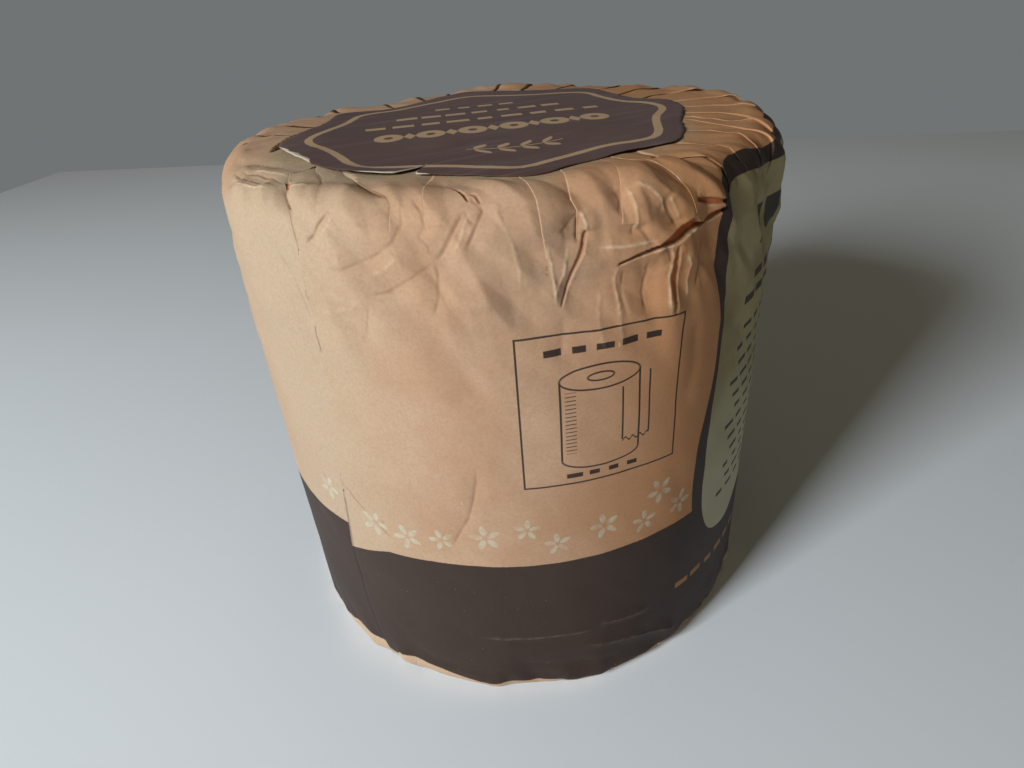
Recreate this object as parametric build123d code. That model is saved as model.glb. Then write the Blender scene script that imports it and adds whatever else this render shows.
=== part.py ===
from build123d import *
from math import asin, atan2, cos, degrees, radians, sin
import os

# A toilet roll sealed in a printed paper wrapper, standing on its end, in millimetres.
# The frame stands on the middle of the base with Z up, and the front faces -Y.

# Roll and wrapper
roll_radius = 59.0
roll_height = 114.95
top_rim_radius = 6.6
base_rim_radius = 4.0
wall_taper = 1.6

# Gathered top: knife pleats, each with a proud edge that stands over the sunk edge of the next
top_pleats = 25
top_fold_drop = 27.0
top_fold_lift = 1.5
top_fold_proud = 0.35
top_fold_sink = 0.6
top_fold_press = 0.3
top_fold_bias = 0.35
top_gather_radius = 37.0

# Tucked base: the same pleats, more and flatter
base_pleats = 27
base_fold_drop = 13.0
base_fold_lift = 0.7
base_fold_proud = 0.2
base_fold_sink = 0.3
base_fold_press = 0.2
base_fold_bias = 0.0
base_gather_radius = 21.0

# How the pleats wander: their borders run past the middle, and their spacing is uneven
pleat_swirl = 7.0
pleat_wander = 0.24
pleat_rhythm = 2.4

# Overlap seam of the wrapper, on the left of the front
seam_bearing = 231.5
seam_slant = 3.4
lap_step = 0.4

# Folded edge of unprinted paper that shows under the lap's lower corner
hem_height = 5.0
hem_base = 1.0
hem_proud = 0.5
hem_span = 24.0

# Creases in the wall: bearing and height of both ends, then depth and width
crease_lines = (
    (286.5, 101.0, 300.0, 105.4, 1.2, 2.4),
    (298.0, 104.6, 307.5, 107.4, 1.5, 2.6),
    (281.5, 108.0, 277.5, 92.5, 0.8, 1.6),
    (259.5, 108.5, 256.5, 96.5, 0.6, 1.4),
    (297.0, 102.0, 298.0, 86.5, 0.7, 1.6),
    (291.0, 101.0, 290.0, 90.0, 0.5, 1.4),
    (266.0, 105.5, 254.0, 99.5, 0.6, 1.4),
    (261.0, 62.0, 253.5, 42.0, 0.4, 1.4),
    (231.5, 55.0, 240.0, 46.0, 0.4, 1.4),
)

# Glued label: a lobed plaque, cut a little larger than its print
label_thickness = 0.25
label_turn = 7.5
label_centre = (-2.4, -2.0)
label_tip_x = 45.6
label_tip_y = 51.4
label_corner_x = 32.6
label_corner_y = 36.4
label_tip_radius = 7.0
label_corner_radius = 7.0
label_hollow_radius = 62.0
tear_tip = (-14.6, -33.6)
tear_mouth = (-18.0, -44.0)
tear_width = 3.4


def around(bearing, radius, height=0.0):
    """The point at a compass bearing about the roll's axis."""
    angle = radians(bearing)
    return Vector(radius * cos(angle), radius * sin(angle), height)


def plain_roll():
    """The wound roll in its wrapper, narrowed at both ends to leave room for the pleats."""
    top_shoulder = roll_height - top_rim_radius
    outline = Polyline(
        (0, base_rim_radius),
        (roll_radius - wall_taper, base_rim_radius),
        (roll_radius, base_fold_drop),
        (roll_radius, roll_height - top_fold_drop),
        (roll_radius - wall_taper, top_shoulder),
        (0, top_shoulder),
        close=True,
    )
    return revolve(Plane.XZ * make_face(outline), Axis.Z)


def flat_fold(rim_radius, fold_drop):
    """Paper folded over the end of the roll, flat across and rounded at the rim: its face is at
    height 0, and its wall is at X 0 below the rim and sinks inwards as it goes down."""
    wall = Polyline(
        (-roll_radius, 0),
        (-roll_radius, -fold_drop),
        (-wall_taper, -fold_drop),
        (0, -rim_radius),
    )
    rim = RadiusArc((0, -rim_radius), (-rim_radius, 0), -rim_radius)
    face_line = Line((-rim_radius, 0), (-roll_radius, 0))
    section = Plane.XZ * make_face([*wall.edges(), rim, face_line])
    return extrude(section, roll_radius / 2.0, both=True)


def pleat_bearing(index, count):
    """Where one pleat starts, with the uneven spacing of hand folding."""
    return 360.0 / count * (index + pleat_wander * sin(pleat_rhythm * (index % count)))


def pleat_border(index, count):
    """A fold line on the end face: it passes the roll's axis at a small distance."""
    bearing = pleat_bearing(index, count)
    start = around(bearing - 90.0, pleat_swirl)
    return start, around(bearing, 1.0)


def border_crossing(first, second):
    """The point where two neighbouring fold lines cross."""
    (start_a, way_a), (start_b, way_b) = first, second
    gap = start_b - start_a
    along = (gap.X * way_b.Y - gap.Y * way_b.X) / (way_a.X * way_b.Y - way_a.Y * way_b.X)
    return start_a + way_a * along


def pleat_wedge(first, second, fold_drop):
    """The space between two neighbouring fold lines, from the end face down."""
    reach = 2.0 * roll_radius
    corners = [
        border_crossing(first, second),
        first[0] + first[1] * reach,
        second[0] + second[1] * reach,
    ]
    floor = Pos(0, 0, -2.0 * fold_drop) * make_face(Polyline(*corners, close=True))
    return extrude(floor, 2.0 * fold_drop)


def gathered_end(count, rim_radius, fold_drop, lift, proud, sink, press, bias):
    """Knife pleats round an end whose face is at height 0. Each leaf is a flat fold that leans
    from its proud clockwise edge to its sunk other edge, and is pressed flat where it would
    stand above the face. The bias makes the folds on +X deeper than those on -X."""
    fold = flat_fold(rim_radius, fold_drop)
    swirl_angle = degrees(asin(pleat_swirl / roll_radius))
    leaves = []
    for index in range(count):
        from_bearing = pleat_bearing(index, count) - swirl_angle
        to_bearing = pleat_bearing(index + 1, count) - swirl_angle
        share = 1.0 + bias * cos(radians((from_bearing + to_bearing) / 2.0))
        proud_edge = around(from_bearing, roll_radius + proud * share)
        sunk_edge = around(to_bearing, roll_radius - sink * share)
        chord = sunk_edge - proud_edge
        lean = degrees(atan2(lift * share, chord.length))
        seat = Plane(
            origin=(proud_edge + sunk_edge) / 2.0 - Vector(0, 0, press),
            x_dir=(chord.Y, -chord.X, 0),
            z_dir=(0, 0, 1),
        )
        wedge = pleat_wedge(pleat_border(index, count), pleat_border(index + 1, count), fold_drop)
        leaves.append(seat * Rot(-lean, 0, 0) * fold & wedge)
    return leaves


def wrapper_lap():
    """The free end of the wrapper sheet, which stands proud at the seam and fades out round it."""
    out = around(seam_bearing, lap_step)
    sheet = Pos(out.X, out.Y, 0) * plain_roll()
    reach = 2.0 * roll_radius
    seam_plane = Plane(
        origin=around(seam_bearing, roll_radius, roll_height / 2.0),
        x_dir=around(seam_bearing, 1.0),
        z_dir=around(seam_bearing + 90.0, 1.0),
    ).rotated((0, 0, seam_slant))
    beyond_seam = Box(2.0 * reach, 2.0 * reach, roll_radius, align=(Align.CENTER, Align.CENTER, Align.MIN))
    return sheet & (seam_plane * beyond_seam)


def hem():
    """The folded strip of bare paper that shows below the print, beside the seam."""
    strip = Plane.XZ * make_face(
        Polyline(
            (roll_radius - base_rim_radius, hem_base),
            (roll_radius - base_rim_radius + hem_height / 2.0, hem_base),
            (roll_radius + hem_proud, hem_base + hem_height),
            (roll_radius - base_rim_radius, hem_base + hem_height),
            close=True,
        )
    )
    return Rot(0, 0, seam_bearing) * revolve(strip, Axis.Z, revolution_arc=hem_span)


def crease(from_bearing, from_height, to_bearing, to_height, depth, width):
    """A pinched groove in the wall, deepest halfway and running out at both ends."""
    start = around(from_bearing, roll_radius, from_height)
    end = around(to_bearing, roll_radius, to_height)
    middle_bearing = (from_bearing + to_bearing) / 2.0
    middle = around(middle_bearing, roll_radius, (from_height + to_height) / 2.0)
    out = around(middle_bearing, 1.0)
    across = (end - start).normalized().cross(out)
    waist = [
        middle - out * depth,
        middle + out * depth + across * width,
        middle + out * depth - across * width,
    ]
    faces = []
    for tip in (start, end):
        for index in range(len(waist)):
            corners = (tip, waist[index], waist[index - 1])
            faces.append(Face(Wire.make_polygon(corners, close=True)))
    return Solid(Shell(faces))


def wrapped_roll():
    """The sealed roll: one solid, with a pleated top and base."""
    top = gathered_end(
        top_pleats,
        top_rim_radius,
        top_fold_drop,
        top_fold_lift,
        top_fold_proud,
        top_fold_sink,
        top_fold_press,
        top_fold_bias,
    )
    base = gathered_end(
        base_pleats,
        base_rim_radius,
        base_fold_drop,
        base_fold_lift,
        base_fold_proud,
        base_fold_sink,
        base_fold_press,
        base_fold_bias,
    )
    top_leaves = [Pos(0, 0, roll_height) * leaf for leaf in top]
    base_leaves = [Rot(180, 0, 0) * leaf for leaf in base]
    top_gather = Pos(0, 0, roll_height / 2.0) * Cylinder(
        top_gather_radius, roll_height / 2.0, align=(Align.CENTER, Align.CENTER, Align.MIN)
    )
    base_gather = Cylinder(
        base_gather_radius, roll_height / 2.0, align=(Align.CENTER, Align.CENTER, Align.MIN)
    )
    solid = plain_roll().fuse(*top_leaves, *base_leaves, top_gather, base_gather, wrapper_lap(), hem())
    for line in crease_lines:
        solid = solid - crease(*line)
    return solid


def label_outline():
    """A plaque with a rounded tip on each side and a rounded corner between, symmetrical both ways."""
    tips = [(label_tip_x, 0), (0, label_tip_y), (-label_tip_x, 0), (0, -label_tip_y)]
    corners = [
        (label_corner_x, label_corner_y),
        (-label_corner_x, label_corner_y),
        (-label_corner_x, -label_corner_y),
        (label_corner_x, -label_corner_y),
    ]
    edges = []
    for index in range(4):
        edges.append(RadiusArc(tips[index], corners[index], label_hollow_radius))
        edges.append(RadiusArc(corners[index], tips[(index + 1) % 4], label_hollow_radius))
    return make_face(edges)


def top_label():
    """The glued label, lying flat on the gathered pleats, with a small tear in its near edge."""
    face = label_outline()
    tip_points = face.vertices().filter_by(lambda point: min(abs(point.X), abs(point.Y)) < 1.0)
    face = fillet(tip_points, label_tip_radius)
    corner_points = face.vertices().filter_by(
        lambda point: abs(abs(point.X) - label_corner_x) < 0.01 and abs(abs(point.Y) - label_corner_y) < 0.01
    )
    face = fillet(corner_points, label_corner_radius)
    tear = make_face(
        Polyline(tear_tip, tear_mouth, (tear_mouth[0] + tear_width, tear_mouth[1]), close=True)
    )
    plate = extrude(face - tear, label_thickness)
    return Pos(label_centre[0], label_centre[1], roll_height) * Rot(0, 0, label_turn) * plate


os.makedirs("parts", exist_ok=True)
export_step(wrapped_roll(), "parts/wrapped_roll.step")
export_step(top_label(), "parts/top_label.step")
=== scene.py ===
import bpy
import bmesh
import math
import numpy as np
from mathutils import Matrix, Vector


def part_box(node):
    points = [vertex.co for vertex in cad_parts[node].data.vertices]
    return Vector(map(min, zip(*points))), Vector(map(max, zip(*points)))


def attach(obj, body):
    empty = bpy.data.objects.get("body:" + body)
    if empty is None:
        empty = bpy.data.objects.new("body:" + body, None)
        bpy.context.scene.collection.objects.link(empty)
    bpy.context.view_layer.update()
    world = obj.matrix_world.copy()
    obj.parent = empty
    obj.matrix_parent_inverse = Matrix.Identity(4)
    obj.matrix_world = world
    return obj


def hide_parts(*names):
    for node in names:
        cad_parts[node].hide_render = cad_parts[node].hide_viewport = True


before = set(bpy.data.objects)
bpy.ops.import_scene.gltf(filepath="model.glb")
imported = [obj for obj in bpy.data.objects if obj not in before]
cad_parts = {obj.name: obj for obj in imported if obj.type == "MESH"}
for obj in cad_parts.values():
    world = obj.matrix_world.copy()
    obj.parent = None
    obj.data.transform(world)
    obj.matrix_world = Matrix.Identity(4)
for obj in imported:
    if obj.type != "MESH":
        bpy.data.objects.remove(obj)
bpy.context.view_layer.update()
mm = 0.001

# The roll, from the frame, in millimetres
roll = {
    "height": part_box("wrapped_roll")[1][2] / mm,
    "radius": 59.0,
    "topRim": 6.6,
    "baseRim": 4.0,
}
girth = 2 * math.pi * roll["radius"]
quarter = math.pi / 2

# Paper is measured by its place round the girth, from the front towards the right, and its run:
# the height on the wall, carried on over both rims to the middle of each end
topRimStart = roll["height"] - roll["topRim"]
topRimEnd = topRimStart + roll["topRim"] * quarter
topMiddle = topRimEnd + roll["radius"] - roll["topRim"]
baseRimStart = roll["baseRim"]
baseRimEnd = baseRimStart - roll["baseRim"] * quarter
baseMiddle = baseRimEnd - (roll["radius"] - roll["baseRim"])


def smooth(low, high, value):
    t = np.clip((value - low) / (high - low), 0, 1)
    return t * t * (3 - 2 * t)


def profile(run):
    # radius and height of the plain roll at a run, and which way its surface faces
    top = np.clip((run - topRimStart) / roll["topRim"], 0, quarter)
    base = np.clip((baseRimStart - run) / roll["baseRim"], 0, quarter)
    radius = roll["radius"] - roll["topRim"] * (1 - np.cos(top)) - roll["baseRim"] * (1 - np.cos(base))
    radius = radius - np.maximum(run - topRimEnd, 0) - np.maximum(baseRimEnd - run, 0)
    height = np.clip(run, baseRimStart, topRimStart)
    height = height + roll["topRim"] * np.sin(top) - roll["baseRim"] * np.sin(base)
    return radius, height, np.cos(top - base), np.sin(top - base)


def onRoll(place, run, lift=0.0):
    radius, height, faceOut, faceUp = profile(run)
    angle = place / roll["radius"] - quarter
    out = np.where(radius < 0.01, 0, radius + lift * faceOut)
    return np.stack([out * np.cos(angle), out * np.sin(angle), height + lift * faceUp], -1)


def lumps(points, size, seed):
    # soft noise in space, about -1 to 1
    table = np.random.default_rng(seed).uniform(-1, 1, (32, 32, 32))
    cell = np.floor(points / size).astype(int)
    part = points / size - cell
    part = part * part * (3 - 2 * part)
    total = 0
    for corner in np.ndindex(2, 2, 2):
        weight = np.prod(np.where(corner, part, 1 - part), axis=-1)
        spot = (cell + corner) % 32
        total = total + weight * table[spot[..., 0], spot[..., 1], spot[..., 2]]
    return total


def facets(place, run, size, seed):
    # noise that is flat in triangles with sharp folds between, as crumpled paper is
    count = round(girth / size)
    rows, firstRow, skew = 64, 8, 0.37
    table = np.random.default_rng(seed).uniform(-1, 1, (count, rows))
    y = run / size + firstRow
    x = place / girth * count + skew * y
    cellX = np.floor(x).astype(int)
    cellY = np.floor(y).astype(int)
    partX = x - cellX
    partY = y - cellY

    def corner(stepX, stepY):
        return table[(cellX + stepX) % count, (cellY + stepY) % rows]

    near, right, above, far = corner(0, 0), corner(1, 0), corner(0, 1), corner(1, 1)
    lower = near + partX * (right - near) + partY * (above - near)
    upper = far + (1 - partX) * (above - far) + (1 - partY) * (right - far)
    return np.where(partX + partY > 1, upper, lower)


def pathDistance(points, x, y):
    # distance to a line of points, the share of the way along it, and the side: 1 is left of it
    points = np.array(points, float)
    spans = np.linalg.norm(np.diff(points, axis=0), axis=1)
    starts = np.concatenate([[0], np.cumsum(spans)])
    best = np.full(x.shape, 1e9)
    share = np.zeros(x.shape)
    side = np.ones(x.shape)
    for index, span in enumerate(spans):
        start = points[index]
        way = (points[index + 1] - start) / span
        along = np.clip((x - start[0]) * way[0] + (y - start[1]) * way[1], 0, span)
        gapX = x - start[0] - way[0] * along
        gapY = y - start[1] - way[1] * along
        gap = np.hypot(gapX, gapY)
        nearer = gap < best
        best = np.where(nearer, gap, best)
        share = np.where(nearer, (starts[index] + along) / starts[-1], share)
        side = np.where(nearer, np.sign(way[0] * gapY - way[1] * gapX), side)
    return best, share, side


def outlineDistance(points, x, y):
    # distance to a closed outline, minus inside it
    points = np.array(points, float)
    closed = np.vstack([points, points[:1]])
    gap = pathDistance(closed, x, y)[0]
    inside = np.zeros(x.shape, bool)
    for (ax, ay), (bx, by) in zip(closed, closed[1:]):
        if ay != by:
            crosses = ((ay > y) != (by > y)) & (x < ax + (bx - ax) * (y - ay) / (by - ay))
            inside ^= crosses
    return np.where(inside, -gap, gap)


def rounded(points, passes=3, cut=0.25):
    # a closed outline with its corners cut off a few times over
    points = np.array(points, float)
    for step in range(passes):
        after = np.roll(points, -1, axis=0)
        pairs = [(1 - cut) * points + cut * after, cut * points + (1 - cut) * after]
        points = np.stack(pairs, 1).reshape(-1, 2)
    return points


def onEnds(run):
    # 1 on the top and 1 on the base, fading out over each rim
    return smooth(topRimEnd - 4, topRimEnd + 2, run), smooth(baseRimStart, baseRimEnd, run)


def inBox(corners, place, run):
    (fromPlace, fromRun), (toPlace, toRun) = corners
    return (place > fromPlace) & (place < toPlace) & (run > fromRun) & (run < toRun)


# Knife pleats: the free edge of each leaf, as its depth, the run where it fades out, and its line as
# (run, place). The first is the seam, where the sheet overlaps itself; those at the back follow a rule.
pleats = {
    "seam": (0.5, 106, [(-10, -37), (3, -38), (9, -40), (20, -41.5), (36, -42), (44, -41), (55, -40),
                        (70, -38.6), (80, -37.6), (91, -36.5), (104, -36.2), (109, -35.6),
                        (111.2, -36.2), (113.9, -39.5), (116, -41.8), (118.5, -43.9), (124, -52),
                        (131, -63)]),
    "front": [
        (0.45, 113, [(109, -30), (114, -31), (117.7, -32.9), (119.5, -34.5), (121.9, -38.8),
                     (124.8, -44.8), (131, -55)]),
        (0.5, 111, [(108, -17.2), (114.2, -17.7), (115.5, -18.6), (116.7, -20.7), (118.4, -23.9),
                    (121.5, -29), (124, -34), (131, -45)]),
        (0.2, 112, [(108, -12), (111.3, -11.8), (113.4, -12), (115.8, -12.4), (122, -13.5), (131, -15)]),
        (0.3, 105, [(104, 6.1), (108.8, 5.4), (113.1, 5), (115, 4.5), (122, 3), (131, 1)]),
        (0.5, 108, [(106, 10.9), (111.2, 11.0), (112.9, 10.3), (116.5, 10.5), (121.7, 11.2), (131, 12)]),
        (0.35, 109, [(108, 17.9), (112.2, 18.2), (116.2, 19), (122.1, 21), (131, 21.5)]),
        (0.6, 109, [(107.3, 31), (108.3, 30.6), (109.3, 30.3), (111.1, 29.7), (113.2, 28.6), (115.7, 26.7),
                    (119.3, 24.6), (124, 23.7), (131, 25)]),
        (0.5, 109, [(108, 39.9), (111, 40.1), (112.9, 39.8), (115.4, 38.1), (117.5, 35.6), (120, 32.4),
                    (124, 31.5), (131, 32.5)]),
        (0.28, 111, [(110, 47), (116, 46.2), (119.2, 44.2), (122, 43.0), (125, 41.3), (131, 38.5)]),
        (0.35, 110, [(108, 53.5), (115, 54.2), (120.7, 55.3), (123.6, 56.8), (126.4, 55.8), (131, 55)]),
        (0.35, 108, [(106, 59.2), (113, 60.0), (117.1, 60.7), (120.7, 62.3), (124.3, 64.4), (128, 66.6),
                     (132, 69.6)]),
        (0.35, 108, [(108, 67), (114, 68), (123, 69.6), (127.5, 71.5), (132, 73.5)]),
        (0.3, 107, [(107, 75), (119, 76.3), (124.5, 77.8), (128.5, 79.4), (132, 80.5)]),
        (0.4, 105, [(105, 88), (118, 89), (131, 91)]),
        (0.6, 104, [(104, 100), (118, 101), (131, 103.5)]),
        (0.8, 103, [(103, 116), (121.4, 116.3), (124.4, 118.8), (129.5, 118.2), (135.3, 114.5)]),
        (0.8, 103, [(103, 131), (118, 132.5), (123.5, 133.3), (132.5, 132.3)]),
        (0.7, 103, [(103, 144), (122.8, 145.1), (126.6, 148.5)]),
    ],
    "backFirst": 158.0,
    "backLast": 322.0,
    "backCount": 14,
    "backWander": 2.2,
    "backSwirl": 4.0,
    "backDepth": 0.5,
    "backUneven": 0.4,
    "backRhythms": (2.4, 1.7, 3.1, 4.3),
    "backFade": (104, 5),
    "backRuns": (117, 131),
    "backFlatter": [(195, 240, 0.55), (272, 296, 0.45)],
    "frontSoft": 3,
    "backSoft": 9,
    "least": 0.05,
    "faceDrop": 0.72,
    "proudShare": 0.34,
    "proudSpread": 3.4,
    "sunkSpread": 4.0,
    "puff": 0.4,
    "puffRuns": (100, 110),
    "puffWidth": 12,
    "tuck": 1.1,
    "tuckDepth": 0.6,
    "tuckRise": 0.4,
    "tuckDip": 0.1,
    "baseDepth": 0.45,
    "baseRuns": (6.0, -1.0),
    "baseUneven": 0.3,
    "baseRhythm": 2.3,
}

# How the edges of the leaves look. The free edge is rubbed pale and the fold under it gets a line of painted
# shade; on the left both are lines of painted shade. Each dark line is its share, the depths where it starts
# and is full, and width.
leafEdge = {
    "left": [(-6, -22), (280, 300)],
    "front": (42, 32),
    "worn": (0.08, 0.5),
    "wornFront": (0.1, 0.15),
    "wornWidth": 0.42,
    "fold": (1.0, 0.15, 0.8, 0.7),
    "foldLeft": (0.7, 0.06, 0.36, 0.35),
    "edgeLeft": (0.65, 0.04, 0.3, 0.25),
}

# Creases pressed into the paper: kind, depth, width of the line, and the line as (place, run). The
# paper leans towards each line from further off, as the folded facets on its two sides do.
creases = [
    ("valley", 0.5, 0.5, [(-5.6, 112.9), (-7.7, 109.3), (-9.5, 106.4), (-10.9, 105)]),
    ("ridge", 0.2, 0.4, [(-4.9, 112.4), (-6.4, 108.6), (-8.2, 105.4)]),
    ("valley", 0.22, 0.4, [(-10.9, 105), (-14.9, 102.5), (-19.1, 100), (-23.4, 99.3)]),
    ("ridge", 0.14, 0.8, [(-23.4, 99.3), (-26.3, 96.8), (-30.6, 95.4), (-34.9, 94.6)]),
    ("valley", 0.3, 0.4, [(-10.9, 105), (-10.6, 102.9), (-10.9, 99.3), (-12.2, 95.8)]),
    ("valley", 0.45, 0.4, [(-3.2, 113.4), (-3, 112.3), (-4.5, 109.3), (-5.8, 106.8)]),
    ("valley", 0.25, 0.3, [(-5.6, 112.9), (-5, 111.2), (-3.9, 110.3)]),
    ("ridge", 0.18, 0.5, [(-1.5, 113.2), (0.1, 110), (1.2, 107.1), (1.9, 102.9), (1.9, 99)]),
    ("valley", 0.25, 0.4, [(-15.8, 114.2), (-15.6, 111.1), (-17, 108.2), (-21.3, 105.4), (-26.3, 103.6),
                           (-30, 103.6)]),
    ("ridge", 0.15, 0.6, [(-16.2, 106.3), (-19.4, 103.6), (-22.6, 102.2)]),
    ("valley", 0.3, 0.3, [(-14.2, 115.2), (-13.3, 113.9), (-12.2, 112.6), (-11.9, 110.4), (-12.9, 108.9),
                          (-11.7, 107.4), (-11.2, 105.4)]),
    ("valley", 0.08, 0.3, [(-27, 110.9), (-20, 110.6), (-11, 110.5), (-3.7, 110.3)]),
    ("fold", 0.75, 0.3, [(-63.4, 117), (-56.7, 118.1), (-48.9, 118.5), (-44.1, 118.3)]),
    ("ridge", 0.6, 0.4, [(-61, 118.6), (-53, 119.8), (-46, 120.6)]),
    ("valley", 0.6, 0.4, [(-79, 115.6), (-70, 119), (-63.3, 121), (-56.6, 122.5), (-52, 122.8)]),
    ("valley", 0.45, 0.4, [(-66, 115.2), (-56, 115.8), (-49, 116.8), (-44.6, 117)]),
    ("ridge", 0.4, 0.4, [(-58, 114), (-50, 115), (-45.5, 115.4)]),
    ("valley", 0.6, 0.4, [(-71, 113.5), (-67, 112), (-64.5, 108.5)]),
    ("fold", 0.6, 0.4, [(-43.9, 118.8), (-42.9, 117.8), (-41.5, 116), (-39.7, 114.2), (-37.8, 112.7),
                        (-35, 111.4)]),
    ("fold", 0.5, 0.4, [(-29.8, 122.4), (-25.6, 119.5), (-21.4, 117.2), (-18.5, 115.5)]),
    ("fold", 0.45, 0.4, [(-46.2, 125.5), (-41, 123.2), (-37.5, 121.4), (-34.2, 119), (-32.5, 117.3)]),
    ("ridge", 0.4, 0.4, [(-40.5, 116.3), (-37.8, 116.6), (-35.4, 117.3)]),
    ("valley", 0.4, 0.4, [(-61.2, 112.6), (-62.2, 114.5)]),
    ("valley", 0.35, 0.4, [(-81.9, 117.5), (-82.8, 120.5), (-85.2, 123)]),
    ("ridge", 0.5, 0.6, [(-89.3, 120.4), (-96.2, 122.9), (-101.6, 125.3)]),
    ("fold", 0.42, 0.3, [(-28.2, 112.2), (-29.7, 110.7), (-31.7, 108.3), (-33.5, 106.8)]),
    ("ridge", 0.2, 0.4, [(-27.2, 112), (-28, 110), (-30, 108.4)]),
    ("valley", 0.2, 0.5, [(-41.5, 104), (-38.6, 99), (-37.2, 92)]),
    ("valley", 0.6, 0.4, [(11.2, 111), (11, 108.6), (10.9, 105.8)]),
    ("ridge", 0.5, 0.3, [(11.7, 111), (12.4, 109), (12.5, 107.4)]),
    ("valley", 0.3, 0.3, [(11.2, 111), (9.6, 109.4), (8.2, 107.9)]),
    ("ridge", 0.35, 0.4, [(9.4, 105.6), (8.9, 101), (7.2, 97.6)]),
    ("ridge", 0.4, 0.4, [(6.1, 106.4), (6.9, 103.2), (7.4, 99.6), (7.6, 96)]),
    ("valley", 0.35, 0.3, [(18.4, 113.6), (18, 111.4), (17.6, 109.6)]),
    ("ridge", 0.45, 0.3, [(19.2, 113.2), (20, 110.7), (20.3, 108.5), (20.1, 106.9)]),
    ("valley", 0.4, 0.4, [(19.8, 108), (19.7, 106.2)]),
    ("valley", 0.35, 0.4, [(20.6, 107.7), (22.3, 105), (23.7, 103.8)]),
    ("ridge", 0.3, 0.3, [(20.3, 113.6), (22.8, 112.2), (24.4, 110.7), (25.4, 108.2)]),
    ("valley", 0.45, 0.4, [(24.6, 110.6), (26.2, 108.2), (27, 106.8), (27.3, 105.8)]),
    ("ridge", 0.3, 0.3, [(25.9, 110.9), (27.2, 108.6), (27.9, 107)]),
    ("ridge", 0.35, 0.4, [(14.5, 105), (19, 104.6), (24, 104.8)]),
    ("valley", 0.4, 0.4, [(25.4, 103.3), (26.4, 102), (27.3, 99.8)]),
    ("ridge", 0.5, 0.4, [(26.6, 103.2), (27.2, 101.2), (26.7, 98), (26.8, 94), (27.6, 90.6)]),
    ("ridge", 0.3, 0.4, [(29.6, 101.6), (30.8, 99.2), (30.4, 96.4), (31, 92)]),
    ("valley", 0.35, 0.4, [(33.4, 103.6), (33, 99), (32.4, 94)]),
    ("ridge", 0.35, 0.4, [(17.7, 101.4), (17.3, 99.3), (17.9, 95.7), (18.3, 91.4), (18.8, 87)]),
    ("valley", 0.25, 0.4, [(18.7, 100.8), (18.6, 96), (19.6, 91)]),
    ("valley", 0.35, 0.4, [(22.9, 101.6), (23, 99.3), (22.4, 95.7), (23.2, 91)]),
    ("valley", 0.25, 0.8, [(8.4, 94.3), (8.4, 91), (7.4, 86)]),
    ("ridge", 0.2, 0.6, [(15, 98), (14.4, 92), (15.6, 86)]),
    ("valley", 0.3, 0.5, [(-8.4, 66), (-8.7, 62.7), (-9.8, 57.7), (-11.2, 53.3), (-14.3, 47.7),
                          (-16.2, 44.5)]),
    ("valley", 0.3, 0.5, [(-40.2, 56.5), (-39.6, 55), (-36.8, 52), (-32.9, 48.5), (-30, 45.8), (-27.5, 44)]),
    ("valley", 0.2, 0.6, [(-26, 90), (-22, 99)]),
    ("ridge", 0.4, 0.6, [(-11.3, 19.2), (-2.3, 19.3), (5.1, 19.5), (13.7, 18.8)]),
    ("valley", 0.4, 0.6, [(-6, 17.8), (4, 17.6), (13, 17.2)]),
    ("ridge", 0.45, 0.6, [(14.6, 20.1), (21.1, 19), (27.7, 18.5)]),
    ("valley", 0.4, 0.6, [(15.5, 18.4), (21, 17.4), (28, 16.8)]),
    ("ridge", 0.45, 0.7, [(11.2, 14.2), (21.3, 12), (30, 9), (37.2, 5.6)]),
    ("valley", 0.28, 0.7, [(-2.9, 10.1), (11.1, 8.5), (21.4, 6.5)]),
    ("valley", 0.2, 1.2, [(33.5, 88), (34.5, 80), (33, 71)]),
    ("valley", 0.28, 1.2, [(-41.5, 27), (-36, 30), (-30, 31.5)]),
]

# How far a crease leans and pinches the paper, how it fades at its ends, and how its line shows: valley and
# fold lines are painted shade
creasing = {
    "spread": 2.5,
    "start": (-0.05, 0.2),
    "end": (-0.02, 0.25),
    "lean": 0.85,
    "pinch": 0.26,
    "fullDepth": 0.4,
    "fullWidth": 0.5,
    "line": 0.4,
    "valley": 0.8,
    "fold": 0.95,
    "breaks": 1.6,
    "unbroken": (0.8, 0.7),
}

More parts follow.
